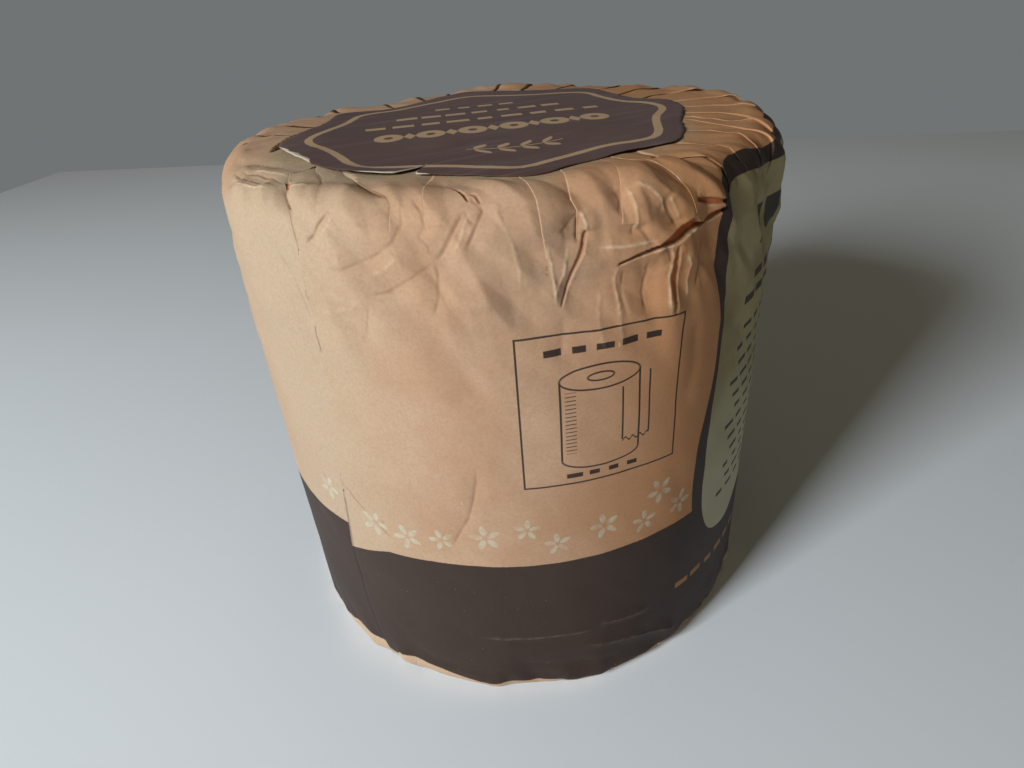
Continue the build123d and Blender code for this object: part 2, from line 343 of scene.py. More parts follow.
# Open folds, where paper hangs over a pocket: depth, how far the paper over it and the lip under it
# stand proud, and the two lines that bound the pocket
pockets = [
    (0.9, 0.5, 0.22,
     [(17.2, 101.4), (18, 101.9), (20.1, 102.8), (24.4, 103.9), (25.9, 104.9), (28, 105.9),
      (30.1, 106.7), (31, 106.9), (31.8, 105.8), (33, 105.6), (35.1, 106.6), (37, 106.9), (39, 107)],
     [(17.2, 101.3), (20.1, 102.3), (24.4, 103.2), (27.3, 103.5), (30.1, 104.7), (32, 105.1), (33, 105),
      (35.9, 105.6), (37.5, 106.3), (39, 106.9)]),
    (0.6, 0.2, 0.1, [(31, 109.7), (34.4, 109.1), (38.4, 108.1)],
     [(31.3, 109.2), (34.4, 108.2), (38.4, 107.5)]),
    (0.34, 0.25, 0.0, [(12.7, 108.4), (11.8, 104.5), (10.5, 101.6), (8.2, 95.4)],
     [(12.3, 108.3), (11.2, 104.4), (10, 101.5), (8.1, 95.6)]),
    (0.3, 0.25, 0.0, [(28, 103.2), (28.3, 100.4), (28.2, 96), (28.4, 90.5)],
     [(27.8, 103.2), (27.5, 100), (27.4, 96), (28.2, 90.5)]),
    (0.3, 0.12, 0.1, [(-7.1, 117.2), (-5.7, 115.6), (-4.9, 114)],
     [(-7.3, 117), (-6.1, 115.4), (-5.1, 113.9)]),
    (0.25, 0.1, 0.1, [(-4.9, 115.6), (-3.8, 115.2), (-3.1, 113.6)],
     [(-4.8, 115.3), (-4, 114.8), (-3.3, 113.5)]),
    (0.5, 0.15, 0.1, [(26.9, 117.9), (28.4, 118.5), (29.6, 119.8)],
     [(27.4, 117.4), (28.9, 118.2), (29.8, 119.6)]),
    (0.4, 0.1, 0.1, [(-45, 119.1), (-43.4, 118.7), (-41.8, 116.9)],
     [(-45, 118.7), (-43.7, 118), (-42.1, 116.6)]),
    (1.0, 0.1, 0.5,
     [(-74.5, 124.2), (-79, 126.4), (-87.7, 128.9), (-94, 130.2), (-100.5, 130)],
     [(-74.5, 123.9), (-78, 124.3), (-87.7, 126.2), (-94, 127.4), (-100.5, 129.4)]),
]

# How the paper rises over a pocket and at its lip, how soft the edges are, and how they are rubbed
opening = {
    "overSpread": 3.2,
    "lipSpread": 1.5,
    "soft": 0.16,
    "lipSoft": 0.1,
    "ends": 0.05,
    "taper": 0.15,
    "wornWidth": 0.2,
}

# How uneven the paper is away from the named marks: size and depth of each layer, and where it shows
crumple = {
    "wave": (42.0, 0.4),
    "broad": (14.0, 1.15),
    "middle": (7.0, 0.95),
    "fine": (3.6, 0.6),
    "wallShare": 0.13,
    "rimRuns": (74, 102),
    "faceDrop": 0.6,
    "footShare": 0.5,
    "footRuns": (14, 3),
    "leftShare": 0.75,
    "leftPlaces": (-30, 2),
    "leftRound": (-90, -60),
    "bend": 1.2,
    "bendSize": 11,
    "stretch": 0.7,
}

# The tucked base pulls the foot flat between its corners
foot = {
    "corners": [-66, -52, -43, -32.5, -9, 15, 34, 51, 66, 84, 103, 118, 139, 158, 176, 199, 214, 236,
                255, 274, 289],
    "share": 0.9,
    "from": 16.0,
    "to": 3.0,
}

# The rim has sunk a little on both sides: depth, place and its spread, run and its spread
sags = [(1.7, 76, 17, 116, 8), (0.8, -74, 14, 116, 7), (0.35, 30, 16, 114, 8)]

# How the paper is pressed flat under the label and on the ground, and how far it may rise beside the label
pressed = {
    "soft": 0.12,
    "under": 0.05,
    "rise": 0.7,
    "riseFrom": 0.6,
    "riseTo": 3.6,
    "far": 30.0,
    "steepest": 0.05,
    "faceShare": 0.4,
    "faceDrop": 0.2,
}

# The lap's thickness shows along the seam, most at its open foot and where the edge is torn, and a
# folded strip of bare paper shows below it
lap = {
    "step": 0.3,
    "spread": 22.0,
    "open": [(0.06, 56, 50), (0.5, 44, 24)],
    "torn": [(86.5, 87.5, 92, 90.5), (96.6, 97.2, 98.6, 98)],
    "tornShare": 0.5,
    "hemStep": 0.45,
    "hemPlaces": [(-34.8, -34.4), (-10.0, -18.0)],
    "hemRuns": [(6.3, 5.8), (0.3, 1.8)],
}

# The mesh is finer at the front, finer again in the folded parts, and finest along the creases.
# Boxes are two corners as (place, run); those on the left count their places down from the front.
mesh3d = {
    "frontSpacing": 0.8,
    "backSpacing": 1.6,
    "frontFrom": -52.0,
    "frontTo": 78.0,
    "columnRun": 100.0,
    "folded": ((-46.0, 94.0), (58.0, 122.0)),
    "foldedLeft": [((-66.0, 112.0), (-38.0, 124.0)), ((-103.0, 122.0), (-73.0, 131.5))],
    "marked": ((-110.0, 5.0), (60.0, 200.0)),
    "leftSpan": 115.0,
    "creaseReach": 0.8,
    "creaseRuns": (84, 121),
    "creaseFrom": (-75, 80),
    "pleatCount": 11,
    "pleatFrom": 104,
    "lowReach": (1.8, 0.8),
    "lowDepth": 0.3,
    "join": 1e-7,
    "fadedJoin": 2e-6,
}


def pleatLines():
    found = [pleats["seam"]] + pleats["front"]
    gap = (pleats["backLast"] - pleats["backFirst"]) / (pleats["backCount"] - 1)
    uneven = pleats["backUneven"]
    middleFade, fadeSpread = pleats["backFade"]
    rimRun, endRun = pleats["backRuns"]
    for index in range(pleats["backCount"]):
        sways = [math.sin(rhythm * index) for rhythm in pleats["backRhythms"]]
        sway, depthSway, fadeSway, swirlSway = sways
        place = pleats["backFirst"] + gap * index + pleats["backWander"] * sway
        flatter = sum(share * smooth(low, high, place) for low, high, share in pleats["backFlatter"])
        depth = pleats["backDepth"] * (1 + uneven * depthSway) * (1 - float(flatter))
        fade = middleFade + fadeSpread * fadeSway
        swirl = pleats["backSwirl"] * (1 + uneven * swirlSway)
        found.append((depth, fade, [(fade, place), (rimRun, place + 0.3 * swirl), (endRun, place + swirl)]))
    return found


lines = pleatLines()


def pleatPath(index, run):
    points = lines[index % len(lines)][2]
    place = np.interp(run, [p[0] for p in points], [p[1] for p in points])
    return place + girth * (index // len(lines))


def pleatDepth(index, run):
    # how far a leaf's free edge stands over its neighbour, fading out down the wall
    depth, fade, points = lines[index % len(lines)]
    atBack = index % len(lines) > len(pleats["front"])
    soft = pleats["backSoft"] if atBack else pleats["frontSoft"]
    top = depth * smooth(fade - soft, fade + 2 * soft, run)
    top = top * (1 - pleats["faceDrop"] * smooth(topRimEnd - 4, topRimEnd + 3, run))
    uneven = pleats["baseUneven"]
    base = pleats["baseDepth"] * (1 - uneven + uneven * math.sin(pleats["baseRhythm"] * index))
    base = base * smooth(*pleats["baseRuns"], run)
    return np.maximum(top + base - pleats["least"], 0)


def nearLine(points, reach, place, run):
    return inBox((np.min(points, axis=0) - reach, np.max(points, axis=0) + reach), place, run)


def awayFromEnds(share, soft):
    # 1 along a line, fading out to 0 at both ends
    return smooth(0, soft, share) * smooth(0, soft, 1 - share)


def pressCreases(place, run, height, worn, foldShadeAndGlow):
    reach = creasing["spread"]
    for kind, depth, width, points in creases:
        near = nearLine(points, reach, place, run)
        gap, share = pathDistance(points, place[near], run[near])[:2]
        taper = np.minimum(smooth(*creasing["start"], share), smooth(*creasing["end"], 1 - share))
        tent = creasing["lean"] * np.maximum(0, 1 - gap / reach)
        tent = tent + creasing["pinch"] * np.maximum(0, 1 - gap / width)
        height[near] += (1 if kind == "ridge" else -1) * depth * taper * tent
        mark = taper * min(1, depth / creasing["fullDepth"]) * min(1, creasing["fullWidth"] / width)
        mark = mark * np.maximum(0, 1 - gap / creasing["line"])
        if kind == "ridge":
            worn[near] = np.maximum(worn[near], mark)
        # valley and fold lines get a line of painted shade, broken up by noise
        else:
            noise = lumps(onRoll(place[near], run[near]), creasing["breaks"], 51)
            usual, spread = creasing["unbroken"]
            broken = np.clip(usual + spread * noise, 0, 1)
            foldShadeAndGlow[near] = np.maximum(foldShadeAndGlow[near], creasing[kind] * mark * broken)


def openPockets(place, run, height, worn, foldShadeAndGlow):
    soft, lipSoft, ends = opening["soft"], opening["lipSoft"], opening["ends"]
    wornWidth = opening["wornWidth"]
    for depth, over, lip, upper, lower in pockets:
        near = nearLine(upper + lower, 4 * opening["overSpread"], place, run)
        x, y = place[near], run[near]
        overGap, overAlong, overSide = pathDistance(upper, x, y)
        underGap, underAlong, underSide = pathDistance(lower, x, y)
        way = np.sign(np.median(pathDistance(lower, *np.array(upper, float).T)[2]))
        below = -way * overSide * overGap
        above = way * underSide * underGap
        within = awayFromEnds(overAlong, ends) * awayFromEnds(underAlong, ends)
        inside = smooth(-soft, soft, below) * smooth(-soft, soft, above) * within
        taper = awayFromEnds(overAlong, opening["taper"]) * within
        hanging = over * taper * np.exp(-overGap / opening["overSpread"])
        height[near] += hanging * (below < soft) * (1 - inside)
        lipHeight = lip * taper * np.exp(-underGap / opening["lipSpread"])
        height[near] += lipHeight * smooth(lipSoft, -lipSoft, above)
        height[near] -= depth * inside
        # the pocket's inside is marked for a painted glow
        foldShadeAndGlow[near] = np.maximum(foldShadeAndGlow[near], inside)
        rubbed = taper * np.exp(-((above + wornWidth) / wornWidth) ** 2) * min(1, lip / wornWidth)
        worn[near] = np.maximum(worn[near], rubbed)


def markPaper(place, run):
    # height, wear, and painted shade and glow in the folds that the named creases and pockets give the paper
    height, worn, foldShadeAndGlow = np.zeros((3, len(place)))
    pressCreases(place, run, height, worn, foldShadeAndGlow)
    openPockets(place, run, height, worn, foldShadeAndGlow)
    return height, worn, foldShadeAndGlow


def crumpleHeight(place, run):
    points = onRoll(place, run)
    bentPlace = place + crumple["bend"] * lumps(points, crumple["bendSize"], 5)
    bentRun = crumple["stretch"] * (run + crumple["bend"] * lumps(points, crumple["bendSize"], 6))
    crinkle = 0
    for seed, layer in enumerate(["broad", "middle", "fine"]):
        size, depth = crumple[layer]
        crinkle = crinkle + depth * facets(bentPlace, bentRun, size, seed + 11)
    size, depth = crumple["wave"]
    onFace = smooth(topRimEnd - 1, topRimEnd + 4, run)
    rim = smooth(*crumple["rimRuns"], run) * (1 - crumple["faceDrop"] * onFace)
    low = crumple["footShare"] * smooth(*crumple["footRuns"], run)
    share = crumple["wallShare"] + (1 - crumple["wallShare"]) * np.maximum(rim, low)
    leftFrom, leftTo = crumple["leftRound"]
    left = 1 - smooth(*crumple["leftPlaces"], place) * (1 - smooth(girth + leftFrom, girth + leftTo, place))
    share = share * (1 - (1 - crumple["leftShare"]) * left)
    return depth * lumps(points, size, 3) + share * crinkle


def footHeight(place, run):
    # how far the wall lies inside the round where the foot is flat between two corners
    corners = np.array(foot["corners"] + [foot["corners"][0] + girth])
    place = (place - corners[0]) % girth + corners[0]
    index = np.clip(np.searchsorted(corners, place, side="right") - 1, 0, len(corners) - 2)
    half = (corners[index + 1] - corners[index]) / 2
    away = place - corners[index] - half
    chord = roll["radius"] * (np.cos(half / roll["radius"]) / np.cos(away / roll["radius"]) - 1)
    return foot["share"] * chord * smooth(foot["from"], foot["to"], run)


def sagHeight(place, run):
    height = np.zeros(len(place))
    for depth, middle, wide, middleRun, high in sags:
        away = (place - middle + girth / 2) % girth - girth / 2
        height -= depth * np.exp(-(away / wide) ** 2 - ((run - middleRun) / high) ** 2)
    return height


def hemShare(place, run):
    # 1 on the folded strip of bare paper at the foot
    across = np.prod([smooth(*ramp, place) for ramp in lap["hemPlaces"]], axis=0)
    return across * np.prod([smooth(*ramp, run) for ramp in lap["hemRuns"]], axis=0)


def columnLayout():
    # the columns of each leaf as (leaf, share of its width, tucked step): the last two are the paper
    # that goes in under the next leaf
    columns = []
    for index in range(len(lines)):
        start = float(pleatPath(index, mesh3d["columnRun"]))
        end = float(pleatPath(index + 1, mesh3d["columnRun"]))
        parts = int(round((end - start) / mesh3d["backSpacing"]))
        inFront = max(0, min(end, mesh3d["frontTo"]) - max(start, mesh3d["frontFrom"]))
        inFront += max(0, end - girth - mesh3d["frontFrom"])
        parts += int(round(inFront * (1 / mesh3d["frontSpacing"] - 1 / mesh3d["backSpacing"])))
        columns += [(index, step / parts, 0) for step in range(parts + 1)]
        columns += [(index, 1.0, 1), (index, 1.0, 2)]
    return np.array(columns)


def rowLayout():
    # the run of each row, from the middle of the top to the middle of the base
    return np.concatenate([
        topMiddle - np.array([0, 8, 16, 22, 27, 31]),
        np.arange(topMiddle - 34, topRimEnd, -0.95),
        np.linspace(topRimEnd, topRimStart, 14),
        np.arange(topRimStart - 0.8, 91, -0.8),
        np.arange(90, 12, -1.5),
        np.arange(11.4, baseRimStart, -0.6),
        np.linspace(baseRimStart, baseRimEnd, 8),
        baseRimEnd - np.array([1.5, 3.5, 6, 9, 13, 18, 24, 31, 39, 47]),
        [baseMiddle],
    ])


def spin(points, steps, join):
    # a surface turned round the Z axis from a chain of points, with the points that meet joined
    build = bmesh.new()
    chain = [build.verts.new(point) for point in points]
    edges = [build.edges.new(pair) for pair in zip(chain, chain[1:])]
    bmesh.ops.spin(
        build, geom=chain + edges, cent=(0, 0, 0), axis=(0, 0, 1), angle=2 * math.pi,
        steps=steps, use_merge=True,
    )
    bmesh.ops.remove_doubles(build, verts=build.verts, dist=join)
    bmesh.ops.recalc_face_normals(build, faces=build.faces)
    return build


def paperSpots(points, columnCount):
    # the column and the run of points on the plain roll
    x, y, z = np.array(points).T / mm
    column = np.arctan2(y, x) / (2 * math.pi / columnCount) % columnCount
    radius = np.hypot(x, y)
    topInner = roll["radius"] - roll["topRim"]
    baseInner = roll["radius"] - roll["baseRim"]
    topRun = topRimStart + roll["topRim"] * np.arctan2(z - topRimStart, np.maximum(radius - topInner, 0))
    topRun = topRun + np.maximum(topInner - radius, 0)
    overRim = np.maximum(radius - baseInner, 0)
    baseRun = baseRimStart - roll["baseRim"] * np.arctan2(baseRimStart - z, overRim)
    baseRun = baseRun - np.maximum(baseInner - radius, 0)
    return column, np.where(z > topRimStart, topRun, np.where(z < baseRimStart, baseRun, z))


def leafShape(leaf, share, tucked, run):
    # place, run and lift of points on a leaf, with how worn they are and the painted shade in the folds
    # along their edges
    start, end, proud, sunk, slope = np.empty((5, len(run)))
    nudge = 0.3
    for index in range(len(lines)):
        mine = leaf == index
        here = run[mine]
        start[mine] = pleatPath(index, here)
        end[mine] = pleatPath(index + 1, here)
        rise = pleatPath(index + 1, here + nudge) - pleatPath(index + 1, here - nudge)
        slope[mine] = rise / (2 * nudge)
        proud[mine] = pleatDepth(index, here)
        sunk[mine] = pleatDepth(index + 1, here)
    width = end - start
    place = start + share * width
    onFace, onBase = onEnds(run)
    onWall = (1 - onFace) * (1 - onBase)
    fromEdge = share * width
    toEdge = (1 - share) * width

    stand = pleats["proudShare"] * (1 - np.maximum(onFace, onBase))
    lift = proud * stand * np.exp(-fromEdge / pleats["proudSpread"]) * (1 - share)
    lift -= sunk * (1 - stand) * np.exp(-toEdge / pleats["sunkSpread"]) * share
    rim = smooth(*pleats["puffRuns"], run) * (1 - onFace)
    puff = pleats["puff"] * rim * np.sin(math.pi * share) * np.minimum(1, width / pleats["puffWidth"])
    lift += puff * np.minimum(1, proud + sunk)
    step = lap["step"] * onWall * sum(part * smooth(high, low, run) for part, high, low in lap["open"])
    torn = sum(smooth(low, full, run) * smooth(end, fade, run) for low, full, end, fade in lap["torn"])
    step += lap["tornShare"] * lap["step"] * torn
    lift += step * np.exp(-(place - pleatPath(0, run)) / lap["spread"])

    cosine = 1 / np.hypot(1, slope)
    left = np.maximum(*[smooth(low, high, place) for low, high in leafEdge["left"]])
    front = smooth(*leafEdge["front"], place)
    low, high = [edge + more * front for edge, more in zip(leafEdge["worn"], leafEdge["wornFront"])]
    worn = smooth(low, high, proud) * np.maximum(0, 1 - fromEdge * cosine / leafEdge["wornWidth"])
    worn = worn * (tucked == 0) * (1 - left)

    # a line of painted shade along a leaf's edge, fading away from it
    def dark(kind, depth, gap):
        share, low, high, spread = leafEdge[kind]
        return share * smooth(low, high, depth) * np.exp(-gap * cosine / spread)

    foldShadeAndGlow = dark("fold", sunk, toEdge) * (1 - left)
    foldShadeAndGlow += left * (dark("foldLeft", sunk, toEdge) + dark("edgeLeft", proud, fromEdge))

    # paper tucked in under the next leaf, straight away from that leaf's edge
    depth = np.maximum(sunk, np.where(leaf == len(lines) - 1, step, 0))
    tuck = np.where(tucked > 0, pleats["tuck"] * np.clip(depth / pleats["tuckDepth"], 0, 1), 0)
    place = place + tuck * cosine
    lift = lift + np.where(tucked == 2, pleats["tuckRise"] * depth, 0)
    lift = lift - np.where(tucked == 1, pleats["tuckDip"] * depth, 0)
    return np.stack([place, run - tuck * slope * cosine, lift, worn, foldShadeAndGlow])


def blendShape(columns, column, run):
    # the same for points between columns
    low = np.floor(column + 1e-3).astype(int)
    part = np.clip(column - low, 0, 1)
    part[part < 1e-3] = 0
    leaf, share, tucked = columns[low % len(columns)].T
    nextLeaf, nextShare, nextTucked = columns[(low + 1) % len(columns)].T
    plain = (nextTucked == 0) & (leaf == nextLeaf)
    share = np.where(plain, share + part * (nextShare - share), share)
    shape = leafShape(leaf, share, tucked, run)
    between = (part > 0) & ~plain
    other = leafShape(nextLeaf[between], nextShare[between], nextTucked[between], run[between])
    other[0] += np.where(nextLeaf[between] < leaf[between], girth, 0)
    shape[:, between] += part[between] * (other - shape[:, between])
    return shape


def refine(build, columns, choose):
    # halves the edges of the faces that are chosen by their place and run
    centres = [face.calc_center_median() for face in build.faces]
    column, run = paperSpots(centres, len(columns))
    place = blendShape(columns, column, run)[0]
    edges = set()
    for face, picked in zip(build.faces, choose(place, run)):
        if picked:
            edges.update(face.edges)
    edges = list(edges)
    bmesh.ops.subdivide_edges(build, edges=edges, cuts=1, use_grid_fill=True, use_single_edge=True)


def turnedPlace(place):
    # the place with the paper on the left of the seam counted down from the front
    return np.where(place > girth - mesh3d["leftSpan"], place - girth, place)


def inFolded(place, run):
    picked = inBox(mesh3d["folded"], place, run)
    for box in mesh3d["foldedLeft"]:
        picked |= inBox(box, turnedPlace(place), run)
    return picked


def closeTo(marks, reach, place, run):
    # whether each point lies within a reach of any of the lines
    picked = np.zeros(len(place), bool)
    for points in marks:
        near = np.flatnonzero(nearLine(points, reach, place, run))
        picked[near[pathDistance(points, place[near], run[near])[0] < reach]] = True
    return picked


def nearCrease(place, run):
    leftmost, lowest = mesh3d["creaseFrom"]
    marks = [crease[3] for crease in creases if crease[3][0][0] > leftmost and crease[3][0][1] > lowest]
    marks += [points for pocket in pockets for points in pocket[3:]]
    for depth, fade, points in lines[:mesh3d["pleatCount"]]:
        marks.append([(place, run) for run, place in points if run > mesh3d["pleatFrom"]])
    low, high = mesh3d["creaseRuns"]
    return closeTo(marks, mesh3d["creaseReach"], turnedPlace(place), run) & (run > low) & (run < high)


def nearLow(reach):
    marks = [crease[3] for crease in creases
             if crease[1] >= mesh3d["lowDepth"] and crease[3][0][1] < mesh3d["creaseFrom"][1]]
    return lambda place, run: closeTo(marks, reach, place, run)


def pressFlat(place, run, lift):
    # paper is pressed flat where it would stand above the label's seat or below the ground
    height, faceUp = profile(run)[1::2]
    fromLabel = np.full(len(run), pressed["far"])
    top = run > topRimEnd - 4
    spots = onRoll(place[top], run[top])
    fromLabel[top] = outlineDistance(label["cut"], spots[:, 0], spots[:, 1])
    rise = pressed["rise"] * smooth(pressed["riseFrom"], pressed["riseTo"], fromLabel)
    seat = roll["height"] - pressed["under"] + rise
    room = np.where(faceUp > 0, seat - height, height)
    room = room / np.maximum(np.abs(faceUp), pressed["steepest"])
    return room - pressed["soft"] * np.logaddexp(0, (room - lift) / pressed["soft"]), fromLabel


def shapePaper(columns, points):
    # place and run of every vertex on the paper, how far it stands off the plain roll, its wear, and its
    # painted fold shade and glow
    column, run = paperSpots(points, len(columns))
    place, run, lift, worn, foldShadeAndGlow = blendShape(columns, column, run)
    onFace, onBase = onEnds(run)
    turned = turnedPlace(place)
    marked = inBox(mesh3d["marked"], turned, run)
    wall = crumpleHeight(place, run) + footHeight(place, run) + sagHeight(place, run)
    height, markWorn, markShadeAndGlow = markPaper(turned[marked], run[marked])
    wall[marked] += height
    worn[marked] = np.maximum(worn[marked], markWorn)
    foldShadeAndGlow[marked] = np.maximum(foldShadeAndGlow[marked], markShadeAndGlow)
    wall += lap["hemStep"] * hemShare(place, run)
    lift = lift + wall * (1 - np.maximum(pressed["faceShare"] * onFace, onBase))
    lift = lift - pressed["faceDrop"] * onFace
    lift, fromLabel = pressFlat(place, run, lift)
    return place, run, lift, worn, foldShadeAndGlow, fromLabel


def addObject(name, data):
    made = bpy.data.objects.new(name, data)
    bpy.context.collection.objects.link(made)
    return made


def addPiece(name, mesh, node):
    piece = addObject(name, mesh)
    mesh.polygons.foreach_set("use_smooth", [True] * len(mesh.polygons))
    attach(piece, "root")
    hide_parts(node)
    return piece


# Where the print lies, in millimetres on the paper
printing = {
    "bandTop": [(-42.5, 36.5), (-36, 38.5), (-30, 40.5), (-20, 41), (40, 41), (240, 42), (304.7, 43),
                (311, 44), (340, 44)],
    "bandLow": [(-42, 7), (-38, 4.5), (-35.2, 3.2), (-34.5, 5.9), (-27.7, 5.5), (-18.4, 4.1), (-8, 3.4),
                (10, 2.3), (27.5, 2.3), (39, 2.7), (53, 3.2), (68, 7), (90, 4.5), (130, 3.5), (170, 5.5),
                (210, 3), (250, 4.5), (290, 3.4), (305, 3.4), (313, 3.2), (322, 5.6), (333, 6.6)],
    "plaqueMiddle": 86.0,
    "plaqueOuter": [(60, 27), (54, 24.5), (47, 24.5), (42, 28), (39, 35), (37.6, 45), (37.4, 57),
                    (39.5, 66), (41.3, 75), (41.3, 85), (39.5, 92), (37.4, 97), (37.6, 103), (37.2, 109),
                    (41, 114.5), (48, 115), (57, 112.8), (63, 112.6), (70, 113.8), (78, 115.4)],
    "plaqueInner": [(68, 32.5), (60, 29.3), (53, 28), (47, 29.5), (43.2, 34), (41.2, 43), (41, 60),
                    (42.2, 72), (42.6, 82), (42.4, 91), (40.6, 97), (40.2, 106), (40.4, 110),
                    (46, 110.8), (55, 109.6), (63, 109.2), (70, 110.2), (79, 111.4)],
    "blossoms": [(325.5, 51.9), (-32.7, 47.6), (-24.8, 46.5), (-17.3, 47.3), (-8.2, 48.7), (0, 50.5),
                 (5.8, 46.2), (15.5, 48.2), (24.5, 45.8), (28, 52.3), (33.5, 46.5)],
    "blossomGap": 8.6,
    "blossomFirst": 132.0,
    "blossomLast": -62,
    "blossomSway": 1.2,
    "blossomRow": (48, 3.2),
    "blossomSizes": (0.78, 0.98),
    "plaquePlaces": (30, 142),
    "far": 9.0,
    "rough": (0.5, 6),
}


def mirrored(points):
    middle = printing["plaqueMiddle"]
    return rounded(points + [(2 * middle - x, y) for x, y in reversed(points)], 2)


def blossomPlaces():
    # centres, turns and sizes: those that show, then a row of them round the back
    draw = np.random.default_rng(21)
    places = list(printing["blossoms"])
    sway = printing["blossomSway"]
    middle, spread = printing["blossomRow"]
    x = printing["blossomFirst"]
    while x < girth + printing["blossomLast"]:
        places.append((x + draw.uniform(-sway, sway), middle + draw.uniform(-spread, spread)))
        x += printing["blossomGap"]
    turns = draw.uniform(0, 2 * math.pi, len(places))
    return np.array(places), turns, draw.uniform(*printing["blossomSizes"], len(places))


def keepNumbers(mesh, name, values, domain="POINT"):
    layer = mesh.attributes.new(name, "FLOAT", domain)
    layer.data.foreach_set("value", values.astype(np.float32))


def keepPrint(mesh, place, run):
    # how far every point lies from the borders of the print
    spots = onRoll(place, run)
    top, low = [np.interp(place, *np.array(printing[name]).T) for name in ("bandTop", "bandLow")]
    depth, size = printing["rough"]
    keepNumbers(mesh, "bandTop", top - run)
    keepNumbers(mesh, "bandLow", run - low + depth * lumps(spots, size, 31))
    fromPlace, toPlace = printing["plaquePlaces"]
    near = (place > fromPlace) & (place < toPlace)
    for name in ("plaqueOuter", "plaqueInner"):
        gap = np.full(len(place), printing["far"])
        gap[near] = outlineDistance(mirrored(printing[name]), place[near], run[near])
        keepNumbers(mesh, name, gap)


def keepBlossoms(mesh, corners, place, run):
    # each face takes the blossom nearest to it, and its corners keep their way from that centre
    centres, turns, sizes = blossomPlaces()
    totals = np.empty(len(mesh.polygons), np.int32)
    mesh.polygons.foreach_get("loop_total", totals)
    faceOf = np.repeat(np.arange(len(totals)), totals)
    x = place[corners]
    y = run[corners]
    middleX = np.bincount(faceOf, x) / totals
    middleY = np.bincount(faceOf, y) / totals
    nearest = np.zeros(len(totals), int)
    best = np.full(len(totals), 1e9)
    for index, (cx, cy) in enumerate(centres):
        gap = np.hypot(middleX - cx, middleY - cy)
        nearest = np.where(gap < best, index, nearest)
        best = np.minimum(gap, best)
    nearest = nearest[faceOf]
    dx = (x - centres[nearest, 0]) / sizes[nearest]
    dy = (y - centres[nearest, 1]) / sizes[nearest]
    cos = np.cos(turns[nearest])
    sin = np.sin(turns[nearest])
    spots = np.stack([dx * cos - dy * sin, dx * sin + dy * cos, 0 * dx], -1)
    layer = mesh.attributes.new("blossom", "FLOAT_VECTOR", "CORNER")
    layer.data.foreach_set("vector", spots.astype(np.float32).ravel())


def paperWrapper():
    columns = columnLayout()
    rows = rowLayout()
    radius, height = profile(rows)[:2]
    outline = [(max(r, 0) * mm, 0, h * mm) for r, h in zip(radius, height)]
    build = spin(outline, len(columns), mesh3d["join"])
    print("plain roll:", len(columns), "columns,", len(rows), "rows")
    refine(build, columns, inFolded)
    refine(build, columns, nearCrease)
    for reach in mesh3d["lowReach"]:
        refine(build, columns, nearLow(reach))
    print("refined roll:", len(build.faces), "faces")
    points = [vert.co for vert in build.verts]
    place, run, lift, worn, foldShadeAndGlow, fromLabel = shapePaper(columns, points)
    shaped = onRoll(place, run, lift)
    shaped[:, 2] = np.clip(shaped[:, 2], 0, roll["height"] + pressed["rise"])
    mesh = bpy.data.meshes.new("paperWrapper")
    build.to_mesh(mesh)
    build.free()
    mesh.vertices.foreach_set("co", (shaped * mm).ravel())
    corners = np.empty(len(mesh.loops), np.int32)
    mesh.loops.foreach_get("vertex_index", corners)
    keepNumbers(mesh, "paperPlace", place[corners], "CORNER")
    numbers = {"paperRun": run, "standing": lift, "worn": worn, "foldShadeAndGlow": foldShadeAndGlow, "fromLabel": fromLabel}
    for name, values in numbers.items():
        keepNumbers(mesh, name, values)
    keepPrint(mesh, place, run)
    keepBlossoms(mesh, corners, place, run)

    # where a pleat has faded out its hidden paper has no size left, so its points are joined
    build = bmesh.new()
    build.from_mesh(mesh)
    bmesh.ops.remove_doubles(build, verts=build.verts, dist=mesh3d["fadedJoin"])
    build.to_mesh(mesh)
    build.free()
    triangles = len(mesh.loops) - 2 * len(mesh.polygons)
    print("paper wrapper:", len(mesh.polygons), "faces,", triangles, "triangles")
    return addPiece("paperWrapper", mesh, "wrapped_roll")


